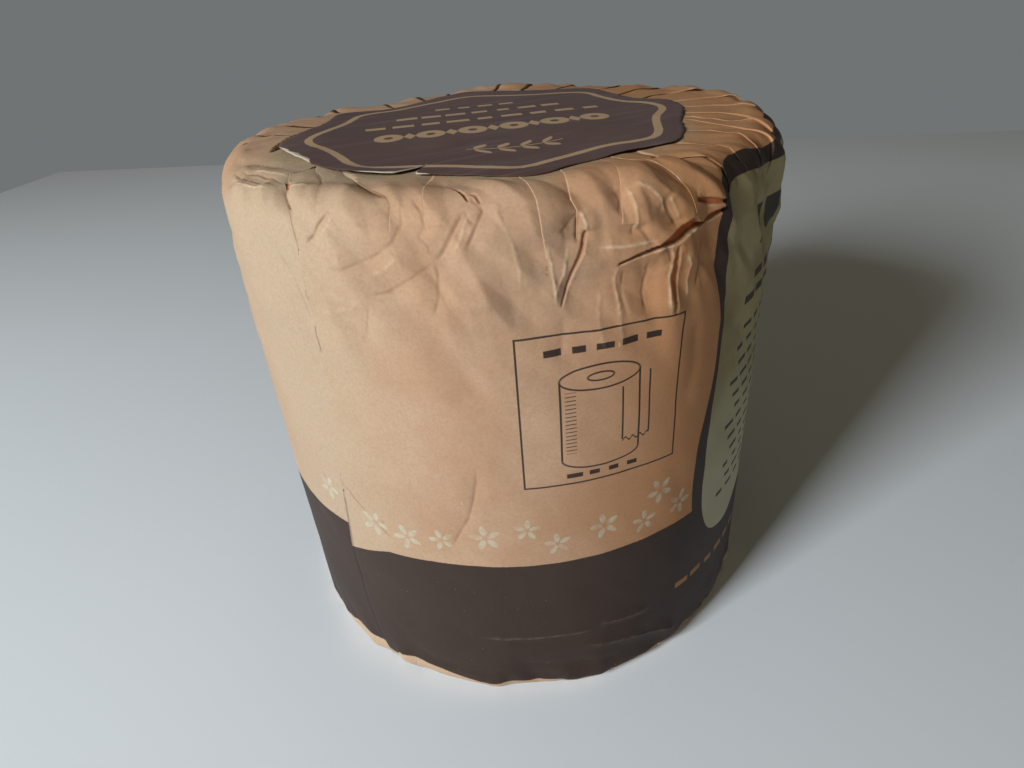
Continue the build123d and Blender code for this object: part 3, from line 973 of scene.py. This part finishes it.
# The glued label: a lobed plaque cut out of thin card by hand, with its print off centre. Each curl of
# its edge is a direction in degrees, a spread and a share; bare edges are a direction, spread and width.
label = {
    "middle": (-2.0, -2.0),
    "cut": [(-6.7, 47.5), (-10.3, 45.7), (-14.6, 41.8), (-17.4, 37.9), (-21, 32.1), (-27.4, 26.4),
            (-31.4, 24.6), (-37.1, 22.1), (-38.5, 18.6), (-38.6, 13.6), (-39.6, 8.6), (-42, -0.7),
            (-43.8, -8), (-43.9, -12.5), (-41.2, -18.6), (-35.2, -27.9), (-30.2, -35), (-25.5, -41),
            (-20.6, -42.9), (-16, -42.9), (-10.3, -45.2), (-4.6, -47.9), (1.1, -50.4), (5.4, -51.2),
            (8.3, -49.3), (10.4, -47.1), (15.4, -44.3), (20.4, -40.6), (24.7, -38.4), (29.7, -36.6),
            (32.2, -32.9), (34, -27.9), (35.8, -18.6), (37.6, -12.1), (39.4, -6.4), (40.6, -0.7),
            (40.1, 5.7), (38.3, 8.9), (34.4, 11.8), (31.9, 16.4), (29.7, 23.6), (27.6, 31.4),
            (25.8, 35.4), (22.6, 37.5), (15.4, 38.9), (8.3, 41.4), (2.6, 43.9), (-2.4, 46.8)],
    "inline": [(-6.7, 37.9), (-10.3, 36.4), (-16, 30.7), (-20.3, 26.8), (-25.3, 23.2), (-29.6, 20.7),
               (-32.4, 17.9), (-33.2, 13.6), (-33.9, 8.6), (-36, 1.4), (-38.1, -5.7), (-38.4, -10.4),
               (-36.7, -15), (-33.1, -18.9), (-29.6, -25), (-26.2, -32.4), (-23.6, -36.6),
               (-18.9, -38.1), (-13.1, -38.9), (-7.4, -40.7), (-3.1, -42.9), (1, -45.3), (4.5, -45.4),
               (9.7, -41.3), (15.4, -37.1), (19.7, -34.2), (24.7, -33.0), (28.1, -30.5), (29.9, -25.7),
               (30.8, -20), (32.2, -12.1), (34.3, -7.1), (35.9, -2.9), (36.1, 1.4), (34.5, 5.7),
               (31.1, 8.8), (27.8, 14.3), (25.7, 20.7), (24.5, 26.4), (22.4, 29.9), (19, 31.2),
               (12.6, 31.9), (6.1, 33.6), (-0.3, 36.2), (-3.9, 37.8)],
    "printMiddle": (-1.2, -3.9),
    "turn": 8.4,
    "thickness": 0.1,
    "seat": 0.02,
    "tipLift": 0.55,
    "tipFrom": (22, 44),
    "edgeLift": 0.7,
    "edgeFrom": 0.86,
    "curls": [(-119, 8, 1.0), (-62, 7, 0.35), (148, 10, 0.4)],
    "ripple": 0.09,
    "rippleSizes": (9, 4),
    "ragged": (0.16, 1.4),
    "tearTip": (-11.6, -37.8),
    "tearMouth": (-15.4, -44.5),
    "tearWidth": 1.8,
    "tearFrom": 0.75,
    "barePaper": (-150.0, 13.0, 1.3),
    "tornPaper": (-110.0, 7.0, 1.3),
    "fullEdge": 0.35,
    "columns": 720,
    "join": 1e-6,
}


def outlineReach(points, angle):
    # how far a closed outline lies from the label's middle, in a direction
    points = rounded(np.array(points) - label["middle"], 2)
    following = np.roll(points, -1, axis=0)
    shares = np.linspace(0, 1, 6, endpoint=False)
    dense = np.concatenate([points + (following - points) * share for share in shares])
    around = np.arctan2(dense[:, 1], dense[:, 0])
    order = np.argsort(around)
    return np.interp(angle, around[order], np.hypot(*dense.T)[order], period=2 * math.pi)


def bulge(angle, middle, spread):
    # 1 in a direction given in degrees, fading out on both sides
    away = (np.degrees(angle) - middle + 180) % 360 - 180
    return np.exp(-((away / spread) ** 2))


def labelLift(x, y, angle, share):
    # how the card stands off the roll
    edge = smooth(label["edgeFrom"], 1.0, share)
    tip = label["tipLift"] * smooth(*label["tipFrom"], -x)
    curl = sum(part * bulge(angle, towards, spread) for towards, spread, part in label["curls"])
    points = np.stack([x, y, 0 * x], -1)
    broad, fine = label["rippleSizes"]
    ripple = label["ripple"] * (lumps(points, broad, 41) + 0.5 * lumps(points, fine, 42))
    rise = tip + label["edgeLift"] * curl * edge + ripple * (0.6 + 0.8 * share)
    return np.maximum(rise, 0) + label["seat"]


def topLabel():
    rows = np.concatenate([np.linspace(0, 0.8, 21), np.linspace(0.82, 0.985, 12), [1.0]])
    build = spin([(share, 0, 0) for share in rows], label["columns"], label["join"])
    if sum(face.normal.z for face in build.faces) < 0:
        bmesh.ops.reverse_faces(build, faces=build.faces)
    spots = np.array([vert.co for vert in build.verts])
    share = np.hypot(spots[:, 0], spots[:, 1])
    angle = np.arctan2(spots[:, 1], spots[:, 0])
    reach = outlineReach(label["cut"], angle)
    flat = np.stack([reach * np.cos(angle), reach * np.sin(angle), 0 * angle], -1)
    depth, size = label["ragged"]
    reach = reach + depth * lumps(flat, size, 43) * (1 + bulge(angle, *label["tornPaper"][:2]))

    # the tear pulls the edge in to its tip, a little to one side
    middle = np.array(label["middle"])
    tip = np.array(label["tearTip"]) - middle
    mouth = np.array(label["tearMouth"]) - middle
    mouthAngle = math.atan2(mouth[1], mouth[0])
    fromTear = (angle - mouthAngle) * reach
    torn = np.maximum(0, 1 - np.abs(fromTear) / label["tearWidth"]) * smooth(label["tearFrom"], 1.0, share)
    x = share * reach * np.cos(angle)
    y = share * reach * np.sin(angle)
    x = x + torn * (tip[0] - x)
    y = y + torn * (tip[1] - y)
    x, y = x + middle[0], y + middle[1]
    z = labelLift(x, y, angle, share)

    layers = {name: build.verts.layers.float.new(name) for name in ("inline", "bareEdge")}
    printLayer = build.verts.layers.float_vector.new("printSpot")
    inline = outlineDistance(rounded(label["inline"], 1), x, y)
    edgeGap = (1 - share) * reach
    bare = np.zeros(len(x))
    for name in ("barePaper", "tornPaper"):
        towards, spread, width = label[name]
        bare = np.maximum(bare, width * bulge(angle, towards, spread))
    bareEdge = edgeGap + label["fullEdge"] - bare * (1 + 0.5 * lumps(flat, 2.2, 44))
    turn = math.radians(label["turn"])
    px = x - label["printMiddle"][0]
    py = y - label["printMiddle"][1]
    printX = px * math.cos(turn) + py * math.sin(turn)
    printY = py * math.cos(turn) - px * math.sin(turn)
    for index, vert in enumerate(build.verts):
        vert.co = (x[index] * mm, y[index] * mm, z[index] * mm)
        vert[printLayer] = (printX[index], printY[index], 0)
        vert[layers["inline"]] = inline[index]
        vert[layers["bareEdge"]] = bareEdge[index]
    bmesh.ops.solidify(build, geom=build.faces[:], thickness=label["thickness"] * mm)
    build.normal_update()
    lowest = min(vert.co.z for vert in build.verts)
    bmesh.ops.translate(build, verts=build.verts, vec=(0, 0, roll["height"] * mm + max(0, -lowest)))
    for face in build.faces:
        face.material_index = 0 if face.normal.z > 0.5 else 1
    mesh = bpy.data.meshes.new("topLabel")
    build.to_mesh(mesh)
    build.free()
    print("top label:", len(mesh.polygons), "faces")
    return addPiece("topLabel", mesh, "top_label")


class Socket:
    # a node's output: sums on it add Math nodes, and node() adds any other kind
    def __init__(self, tree, output):
        self.tree = tree
        self.output = output

    def node(self, kind, settings=None, sockets=None, output=0):
        made = self.tree.nodes.new("ShaderNode" + kind)
        for name, value in (settings or {}).items():
            setattr(made, name, value)
        for name, value in (sockets or {}).items():
            if isinstance(value, Socket):
                self.tree.links.new(value.output, made.inputs[name])
            else:
                made.inputs[name].default_value = value
        return Socket(self.tree, made.outputs[output])

    def into(self, shader, name):
        self.tree.links.new(self.output, shader.inputs[name])

    def beside(self, name):
        # another output of the same node
        return Socket(self.tree, self.output.node.outputs[name])

    def math(self, operation, *values, clamp=False):
        return self.node("Math", {"operation": operation, "use_clamp": clamp}, dict(enumerate(values)))

    def __add__(self, other):
        return self.math("ADD", self, other)

    def __radd__(self, other):
        return self.math("ADD", other, self)

    def __sub__(self, other):
        return self.math("SUBTRACT", self, other)

    def __rsub__(self, other):
        return self.math("SUBTRACT", other, self)

    def __mul__(self, other):
        return self.math("MULTIPLY", self, other)

    def __rmul__(self, other):
        return self.math("MULTIPLY", other, self)

    def __truediv__(self, other):
        return self.math("DIVIDE", self, other)

    def abs(self):
        return self.math("ABSOLUTE", self)

    def wrap(self, size):
        # the value as its way from the middle of its cell, in a row of cells
        return self.math("FLOORED_MODULO", self, size) - size / 2

    def most(self, other):
        return self.math("MAXIMUM", self, other)

    def below(self, edge, soft=0.1):
        # 1 where the value is under the edge, with a soft step
        return self.math("MULTIPLY_ADD", edge - self, 1 / soft, 0.5, clamp=True)

    def ramp(self, low, high, toLow=0.0, toHigh=1.0):
        sockets = {"From Min": low, "From Max": high, "To Min": toLow, "To Max": toHigh, "Value": self}
        return self.node("MapRange", {"interpolation_type": "SMOOTHSTEP"}, sockets)

    def mix(self, first, second):
        # a colour between two, with this socket as the share of the second
        sockets = {0: self, 6: first, 7: second}
        return self.node("Mix", {"data_type": "RGBA"}, sockets, 2)


def paint(colour):
    # a colour as it looks on screen, made linear for the shader
    shares = [value / 255 for value in colour]
    return (*[s / 12.92 if s < 0.04045 else ((s + 0.055) / 1.055) ** 2.4 for s in shares], 1.0)


def palette(look):
    return {name: paint(colour) for name, colour in look.items()}


def newMaterial(name):
    material = bpy.data.materials.new(name)
    material.use_nodes = True
    tree = material.node_tree
    shader = tree.nodes["Principled BSDF"]
    return material, Socket(tree, shader.outputs[0]), shader


def readNumber(start, name):
    return start.node("Attribute", {"attribute_name": name}, output=2)


def readSpot(start, name):
    # the first two parts of a vector kept on the mesh
    vector = start.node("Attribute", {"attribute_name": name}, output=1)
    first = start.node("SeparateXYZ", None, {0: vector})
    return first, first.beside(1)


def grain(start, size, detail=2.0, rough=0.5):
    # noise whose lumps are about a size in millimetres
    place = start.node("TexCoord", output=3)
    sockets = {"Vector": place, "Scale": 1 / (size * mm), "Detail": detail, "Roughness": rough}
    return start.node("TexNoise", None, sockets)


def addBump(shader, height, strength):
    bump = height.node("Bump", None, {"Strength": strength, "Distance": mm, "Height": height})
    bump.into(shader, "Normal")


def together(masks):
    # one mask that is full wherever any of them is
    whole = masks[0]
    for mask in masks[1:]:
        whole = whole.most(mask)
    return whole


def boxMask(x, y, halfWide, halfHigh, soft=0.1):
    return (x.abs() - halfWide).most(y.abs() - halfHigh).below(0, soft)


def strokes(u, v, low, high, left, right, rows, thick, dash, dashGap, seed):
    # rows of short dashes of uneven length
    rowGap = (high - low) / rows
    v = v - low
    row = v.math("FLOOR", v / rowGap)
    stagger = row * (0.37 if rows > 1 else 0)
    cell = (u - left) / dashGap + stagger
    cellIndex = cell.math("FLOOR", cell)
    middle = (cellIndex + 0.5 - stagger) * dashGap + left
    spot = u.node("CombineXYZ", None, {0: cellIndex, 1: row, 2: seed})
    chance = u.node("TexWhiteNoise", {"noise_dimensions": "3D"}, {"Vector": spot})
    length = dash * (0.55 + 0.45 * chance)
    inDash = ((cell.wrap(1.0) * dashGap).abs() - length / 2).below(0)
    inRow = (v.wrap(rowGap).abs() - thick / 2).below(0)
    reach = (right - left - dashGap) / 2 + 0.2
    inside = boxMask(middle - (left + right) / 2, v - (high - low) / 2, reach, (high - low) / 2)
    return inDash * inRow * inside


def dashes(u, v, blocks):
    return together([strokes(u, v, *block) for block in blocks])


# Noise in the wrapper's paper: size in millimetres, detail and roughness
wrapperGrain = {
    "patchy": (17, 4.0, 0.6),
    "cloudy": (45, 2.0),
    "fibre": (0.55, 3.0, 0.7),
    "fleck": (1.6, 2.0),
    "glue": (3.2, 4.0, 0.7),
    "speck": (0.5, 0.0),
    "sageAged": (2.4, 4.0, 0.7),
    "crinkle": (2.6, 2.0, 0.5),
    "dents": (4.2, 3.0, 0.6),
}

# Colours of the wrapper, and how strongly those that lie over others do so
wrapperLook = {
    "peach": (197, 165, 138),
    "peachDeep": (186, 148, 118),
    # painted shade: browner paper on the side away from the lamp
    "peachShadedRight": (183, 125, 76),
    "peachWorn": (230, 207, 172),
    "tan": (187, 169, 145),
    "fibre": (140, 104, 76),
    # painted light in the folds: a glow inside the pockets, and a shade line along the creases
    "foldShade": (192, 98, 46),
    "foldLine": (112, 74, 50),
    "bare": (205, 179, 152),
    "ink": (46, 35, 33),
    "inkWorn": (76, 62, 58),
    # painted shade: darker ink on the side away from the lamp
    "inkShadedRight": (31, 23, 20),
    "speck": (150, 134, 122),
    "sage": (160, 151, 112),
    "sageDeep": (134, 123, 86),
    "sagePale": (192, 192, 166),
    "sageAged": (176, 176, 146),
    "blossom": (196, 204, 184),
    "glue": (166, 160, 134),
    "aged": (194, 168, 136),
}
wrapperStrength = {
    "tan": 0.85,
    "peachShadedRight": 0.8,
    "peachDeep": 0.3,
    "aged": 0.25,
    "glue": 0.72,
    "bare": 0.7,
    "fibre": 0.22,
    "inkWorn": 0.25,
    "speck": 0.6,
    "inkShadedRight": 0.6,
    "sagePale": 0.7,
    "sageAged": 0.6,
    "panel": 0.94,
    "ink": 0.96,
    "bandDash": 0.8,
    "fold": 0.8,
    "peachWorn": 0.75,
}

# Where a look starts and where it is full: places, runs, or millimetres from the label
wrapperSpans = {
    "left": (-8, -46),
    "leftRound": (280, 325),
    # the side away from the lamp, where shade is painted
    "right": (-2, 36),
    "rightRound": (140, 190),
    "aged": (103, 119),
    "glue": (4.6, 0.4),
    "sagePale": (82, 40),
    "sageAged": (96, 110),
    "foldShade": (124, 121),
    "crinkle": (90, 108),
}

# Blocks of dashes: low, high, left, right, rows, thickness, dash, spacing of the dashes and seed
dashBlocks = {
    "panel": [
        (94, 103.5, 52.4, 119.6, 1, 6.0, 8.0, 9.6, 1.0),
        (83.6, 91.6, 50, 122, 2, 1.8, 5.2, 6.0, 2.0),
        (37, 81, 47, 125, 12, 1.0, 4.4, 5.2, 4.0),
    ],
    "band": [(18.6, 22.8, 34, 138, 1, 1.6, 4.4, 5.2, 6.0)],
    "drawing": [
        (10.6, 13.8, -11.2, 11.8, 1, 1.2, 3.9, 4.6, 3.0),
        (-14.4, -12.4, -7.6, 7.6, 1, 1.0, 3.2, 3.8, 5.0),
    ],
    "label": [
        (4.6, 9.0, -27, 27, 1, 2.4, 5.2, 6.0, 1.0),
        (13.6, 18.0, -19.6, 19.6, 1, 2.4, 4.8, 5.6, 2.0),
        (22.6, 26.4, -10.4, 10.4, 1, 2.0, 4.4, 5.2, 3.0),
    ],
}

# The drawing: its middle on the paper, and its parts from there as a middle and half sizes, with the
# thickness of the line for those that are outlines
picture = {
    "middle": (15.3, 75.8),
    "lean": -0.012,
    "frame": (15.1, 15.2, 0.18),
    "rings": [(-0.6, 6.6, 7.4, 2.3, 0.17), (-0.6, 6.7, 2.4, 0.75, 0.16)],
    "foot": (-0.6, -9.8, 7.4, 2.3, 0.17),
    "bars": [
        (-8.0, -1.6, 0.19, 8.2),
        (6.8, -1.6, 0.19, 8.2),
        (8.9, -0.8, 0.17, 6.6),
        (3.5, -1.9, 0.17, 5.6),
    ],
    "wavy": (6.2, -7.6, 2.7, 0.17),
    "wave": (0.35, 4.2),
    "shade": (-6.2, -2.0, 1.0, 6.4),
    "shadeLines": (0.8, 0.09),
}

# A blossom: petals round its middle, how far out each lies, and its half length and half width
blossom = {"petals": 5, "out": 2.0, "long": 1.4, "wide": 0.68}


def drawing(u, v):
    # a plain picture of a roll in a square frame, with dashes above and below
    centreU, centreV = picture["middle"]
    x = u - centreU
    y = v - centreV - x * picture["lean"]

    def ellipse(cx, cy, wide, high, thick):
        squash = high / wide
        flat = (x - cx) * squash
        rise = (y - cy) * (y - cy)
        reach = x.math("SQRT", flat * flat + rise)
        slope = x.math("SQRT", flat * flat * squash * squash + rise) / reach
        return ((reach - high).abs() - thick * slope).below(0)

    def bar(cx, cy, halfWide, halfHigh):
        return ((x - cx).abs() - halfWide).below(0) * ((y - cy).abs() - halfHigh).below(0)

    halfWide, halfHigh, thick = picture["frame"]
    frameLine = ((x.abs() - halfWide).most(y.abs() - halfHigh).abs() - thick).below(0)
    foot = ellipse(*picture["foot"]) * y.below(picture["foot"][1])
    cx, cy, halfWide, halfHigh = picture["wavy"]
    waveHigh, waveRate = picture["wave"]
    wave = y - cy + waveHigh * x.math("SINE", x * waveRate)
    wavy = (wave.abs() - halfHigh).below(0) * ((x - cx).abs() - halfWide).below(0)
    gap, half = picture["shadeLines"]
    shade = (y.wrap(gap).abs() - half).below(0) * bar(*picture["shade"])
    parts = [frameLine, foot, wavy, shade, dashes(x, y, dashBlocks["drawing"])]
    parts += [ellipse(*ring) for ring in picture["rings"]]
    parts += [bar(*part) for part in picture["bars"]]
    return together(parts)


def blossomMask(start):
    px, py = readSpot(start, "blossom")
    reach = px.math("SQRT", px * px + py * py)
    angle = px.math("ARCTAN2", py, px).wrap(2 * math.pi / blossom["petals"])
    along = (reach * angle.math("COSINE", angle) - blossom["out"]) / blossom["long"]
    across = reach * angle.math("SINE", angle) / blossom["wide"]
    return (along * along + across * across).below(1, 0.5)


def wrapperMaterial():
    look = palette(wrapperLook)
    strength = wrapperStrength
    spans = wrapperSpans
    material, start, shader = newMaterial("wrapperPaper")
    u = readNumber(start, "paperPlace")
    v = readNumber(start, "paperRun")
    foldShadeAndGlow = readNumber(start, "foldShadeAndGlow")
    noise = {name: grain(start, *sizes) for name, sizes in wrapperGrain.items()}
    patchy, cloudy, fibre, fleck = [noise[name] for name in ("patchy", "cloudy", "fibre", "fleck")]

    def cover(colour, masks):
        # each named colour over those before it, where its mask is
        for name, mask in masks.items():
            colour = (mask * strength[name]).mix(colour, look[name])
        return colour

    # paper: peach, tanner on the left, browner on the right as painted shade on the side away from the lamp,
    # greyer at the top and by the label's glue
    right = u.ramp(*spans["right"]) * (1 - u.ramp(*spans["rightRound"]))
    glued = readNumber(start, "fromLabel").ramp(*spans["glue"])
    paper = cover(patchy.ramp(0.3, 0.7).mix(look["peach"], look["peachDeep"]), {
        "tan": u.ramp(*spans["left"]).most(u.ramp(*spans["leftRound"])),
        "peachShadedRight": right,
        "peachDeep": fleck.ramp(0.56, 0.8),
        "aged": v.ramp(*spans["aged"]) * cloudy.ramp(0.3, 0.65),
        "glue": glued * noise["glue"].ramp(0.42, 0.62),
        "bare": readNumber(start, "bandLow").below(0, 0.3),
        "fibre": fibre.ramp(0.3, 0.72),
    })

    # print: band, plaque, drawing and dashes
    rough = (fibre - 0.5) * 0.35
    bandTop = readNumber(start, "bandTop") + rough * 0.5
    bandLow = readNumber(start, "bandLow") + rough
    band = (0 - bandTop).below(0, 0.15) * (0 - bandLow).below(0, 0.25)
    plaque, panel = [
        (readNumber(start, name) + rough * 0.5).below(0, 0.15) for name in ("plaqueOuter", "plaqueInner")
    ]
    ink = band.most(plaque) * (1 - panel)
    ink = ink.most(drawing(u, v)).most(dashes(u, v, dashBlocks["panel"]) * panel)
    ink = ink * (1 - dashes(u, v, dashBlocks["band"]) * strength["bandDash"])

    worn = (fibre.ramp(0.55, 0.8) * 0.7).most(readNumber(start, "standing").ramp(0.6, 1.4) * 0.4)
    # the ink is darker on the right as painted shade
    inkColour = cover(worn.mix(look["ink"], look["inkWorn"]), {
        "inkWorn": cloudy.ramp(0.4, 0.7),
        "speck": noise["speck"].ramp(0.85, 0.9),
        "inkShadedRight": right,
    })
    sage = cover(patchy.ramp(0.35, 0.7).mix(look["sage"], look["sageDeep"]), {
        "sagePale": v.ramp(*spans["sagePale"]),
        "sageAged": noise["sageAged"].ramp(0.55, 0.72) * v.ramp(*spans["sageAged"]),
    })
    colour = (blossomMask(start) * fleck.ramp(0.3, 0.65, 0.15, 0.55)).mix(paper, look["blossom"])
    colour = (panel * strength["panel"]).mix(colour, sage)
    colour = (ink * strength["ink"]).mix(colour, inkColour)

    # folds: painted shade along the crease lines and a painted red brown glow inside the pockets, rubbed
    # pale along their edges
    shade = (foldShadeAndGlow.ramp(0.7, 1.0) * v.ramp(*spans["foldShade"])).mix(look["foldLine"], look["foldShade"])
    colour = (foldShadeAndGlow * strength["fold"] * (1 - ink * 0.85)).mix(colour, shade)
    rubbed = readNumber(start, "worn") * (0.25 + 0.75 * fleck.ramp(0.38, 0.6))
    colour = cover(colour, {"peachWorn": rubbed * (1 - ink * 0.8)})
    colour.into(shader, "Base Color")

    shader.inputs["Specular IOR Level"].default_value = 0.22
    roughness = 0.74 + 0.12 * (patchy - 0.5) - ink * 0.14
    roughness.into(shader, "Roughness")
    crinkle = noise["crinkle"] * v.ramp(*spans["crinkle"]) * 0.1
    height = fibre * 0.025 + fleck * 0.012 + noise["dents"] * 0.045 + crinkle
    addBump(shader, height, 0.8)
    return material


# Colours of the label
labelLook = {
    "ink": (86, 57, 51),
    "inkWorn": (118, 98, 94),
    "tan": (196, 164, 126),
    "cream": (206, 198, 178),
    "core": (70, 54, 48),
    # painted sheen: streaks of glossy ink
    "sheenStreak": (124, 110, 114),
}

# The row of rings and lozenges, and the sprig under it: middles, sizes and spacings
ornament = {
    "rings": (0.0, -5.2, 3.0, 3.9),
    "ringGap": 8.6,
    "ringCount": 6,
    "lozenge": (1.3, 0.8),
    "sprig": (1.0, -26.0),
    "stem": (9, 0.22),
    "stemBend": 0.03,
    "leaf": (0.95, 1.9),
    "leafGap": 4.2,
    "leafOut": 2.1,
    "leafLean": 0.6,
    "leavesTo": 8.2,
}


def ringRow(x, y):
    # a row of rings with a lozenge between each two
    cx, cy, wide, high = ornament["rings"]
    gap = ornament["ringGap"]
    halfWide, halfHigh = ornament["lozenge"]
    along = x - cx
    cell = along.wrap(gap)
    across = (y - cy) / high
    reach = cell * cell / (wide * wide) + across * across
    ring = reach.below(1, 0.15) * (0.1 - reach).below(0, 0.06)
    between = (along + gap / 2).wrap(gap)
    lozenge = (between.abs() / halfWide + across.abs() / halfHigh).below(1, 0.12)
    inside = boxMask(along, y - cy, gap * ornament["ringCount"] / 2 - 1.4, high + 1)
    return ring.most(lozenge) * inside


def sprig(x, y):
    # a stem with pairs of leaves
    cx, cy = ornament["sprig"]
    halfLong, thick = ornament["stem"]
    leafWide, leafLong = ornament["leaf"]
    sx = x - cx
    sy = y - cy
    rise = (sy - ornament["stemBend"] * sx * sx).abs()
    stem = (rise - thick).below(0, 0.15) * (sx.abs() - halfLong).below(0)
    outward = rise - ornament["leafOut"]
    tilt = sx.wrap(ornament["leafGap"]) - outward * ornament["leafLean"]
    leaves = (tilt.abs() / leafWide + (outward / leafLong) * (outward / leafLong)).below(1, 0.2)
    return stem.most(leaves * (sx.abs() - ornament["leavesTo"]).below(0))


def labelMaterial():
    look = palette(labelLook)
    material, start, shader = newMaterial("labelPrint")
    x, y = readSpot(start, "printSpot")
    fibre = grain(start, 0.6, 3.0, 0.6)
    cloudy = grain(start, 22, 4.0, 0.6)
    rough = (fibre - 0.5) * 0.25
    line = ((readNumber(start, "inline") + rough).abs() - 0.8).below(0, 0.12)
    marks = together([line, ringRow(x, y), sprig(x, y), dashes(x, y, dashBlocks["label"])])

    ink = (fibre.ramp(0.6, 0.8) * 0.35).mix(look["ink"], look["inkWorn"])
    ink = (cloudy.ramp(0.4, 0.75) * 0.35).mix(ink, look["inkWorn"])
    # painted sheen: paler streaks stretched across the ink
    stretched = x.node("CombineXYZ", None, {0: x * 0.03 + y * 0.01, 1: y * 0.3 - x * 0.1})
    sockets = {"Vector": stretched, "Scale": 1.0, "Detail": 4.0, "Roughness": 0.6}
    sheenStreaks = start.node("TexNoise", None, sockets)
    ink = (sheenStreaks.ramp(0.5, 0.72) * 0.4).mix(ink, look["sheenStreak"])
    colour = (marks * 0.93).mix(ink, look["tan"])
    cream = (readNumber(start, "bareEdge") + rough * 0.6).below(0, 0.2)
    colour = (cream * 0.92).mix(colour, look["cream"])
    colour.into(shader, "Base Color")
    (0.34 + 0.26 * cloudy).into(shader, "Roughness")
    addBump(shader, fibre * 0.02 + grain(start, 5, 3.0) * 0.14, 0.6)
    return material


def coreMaterial():
    # the label's cut edge and its underside
    look = palette(labelLook)
    material, start, shader = newMaterial("labelCore")
    fibre = grain(start, 0.5, 3.0, 0.6)
    colour = fibre.ramp(0.3, 0.7, 0, 0.5).mix(look["core"], look["ink"])
    colour = readNumber(start, "bareEdge").below(0, 0.2).mix(colour, look["cream"])
    colour.into(shader, "Base Color")
    shader.inputs["Roughness"].default_value = 0.8
    return material


# Camera: the photograph's place, worked out from the roll's outline
view = {
    "distance": 2.584,
    "height": 2.3717,
    "yaw": -0.0064,
    "pitch": 0.5435,
    "roll": -0.0811,
    "focal": 660.37,
    "imageWidth": 1024,
    "sensor": 36.0,
    "clip": 0.005,
}


def addCamera():
    lens = bpy.data.cameras.new("camera")
    lens.sensor_width = view["sensor"]
    lens.lens = view["focal"] / view["imageWidth"] * view["sensor"]
    lens.clip_start = view["clip"]
    camera = addObject("camera", lens)
    yaw, pitch, tilt = view["yaw"], view["pitch"], view["roll"]
    ahead = Vector((math.sin(yaw) * math.cos(pitch), math.cos(yaw) * math.cos(pitch), -math.sin(pitch)))
    right = Vector((math.cos(yaw), -math.sin(yaw), 0))
    above = right.cross(ahead)
    tiltedRight = right * math.cos(tilt) + above * math.sin(tilt)
    tiltedAbove = above * math.cos(tilt) - right * math.sin(tilt)
    place = Vector((0, -view["distance"], view["height"])) * roll["radius"] * mm
    axes = Matrix((tiltedRight, tiltedAbove, -ahead)).transposed().to_4x4()
    camera.matrix_world = Matrix.Translation(place) @ axes
    bpy.context.scene.camera = camera


# The studio: a pale table with a grey wall behind, and one soft lamp from the front left
studio = {
    "lampPlace": (-0.615, -0.553, 0.47),
    "lampAim": (0, 0, 0.05),
    "lampSize": 0.24,
    "lampPower": 8.2,
    "lampColour": (1.0, 1.0, 0.985),
    "sky": (0.95, 0.79, 0.52),
    "skyStrength": 0.088,
    "wall": (112, 116, 117),
    "table": (232, 243, 254),
    "tablePatch": (226, 234, 242),
    "tableCorner": (-0.474, 0.595),
    "tableTurn": -9.5,
    "tableSize": 3.0,
}


def addLamp():
    light = bpy.data.lights.new("softLamp", "AREA")
    light.size = studio["lampSize"]
    light.energy = studio["lampPower"]
    light.color = studio["lampColour"]
    lamp = addObject("softLamp", light)
    lamp.location = studio["lampPlace"]
    away = Vector(studio["lampAim"]) - lamp.location
    lamp.rotation_euler = away.to_track_quat("-Z", "Y").to_euler()


def addTable():
    build = bmesh.new()
    size = studio["tableSize"]
    bmesh.ops.create_grid(build, x_segments=1, y_segments=1, size=size / 2)
    bmesh.ops.translate(build, verts=build.verts, vec=(size / 2, -size / 2, 0))
    turn = Matrix.Rotation(math.radians(studio["tableTurn"]), 4, "Z")
    place = Matrix.Translation((*studio["tableCorner"], 0)) @ turn
    bmesh.ops.transform(build, matrix=place, verts=build.verts)
    mesh = bpy.data.meshes.new("table")
    build.to_mesh(mesh)
    build.free()
    table = addObject("table", mesh)
    material, start, shader = newMaterial("tablePaint")
    patches = grain(start, 120, 2.0).ramp(0.3, 0.7) * 0.12
    patches.mix(paint(studio["table"]), paint(studio["tablePatch"])).into(shader, "Base Color")
    shader.inputs["Roughness"].default_value = 0.7
    shader.inputs["Specular IOR Level"].default_value = 0.25
    mesh.materials.append(material)


def addWorld():
    world = bpy.data.worlds.new("studio")
    bpy.context.scene.world = world
    world.use_nodes = True
    tree = world.node_tree
    background = tree.nodes["Background"]
    background.inputs["Color"].default_value = (*studio["sky"], 1)
    background.inputs["Strength"].default_value = studio["skyStrength"]
    start = Socket(tree, background.outputs[0])
    wall = start.node("Background", None, {"Color": paint(studio["wall"]), "Strength": 1.0})
    rays = start.node("LightPath")
    seen = together([rays, rays.beside("Is Glossy Ray"), rays.beside("Is Transmission Ray")])
    mixed = start.node("MixShader", None, {0: seen, 1: start, 2: wall})
    tree.links.new(mixed.output, tree.nodes["World Output"].inputs["Surface"])


wrapper = paperWrapper()
wrapper.data.materials.append(wrapperMaterial())
topCard = topLabel()
topCard.data.materials.append(labelMaterial())
topCard.data.materials.append(coreMaterial())
addCamera()
addLamp()
addTable()
addWorld()
bpy.context.scene.view_settings.view_transform = "Standard"
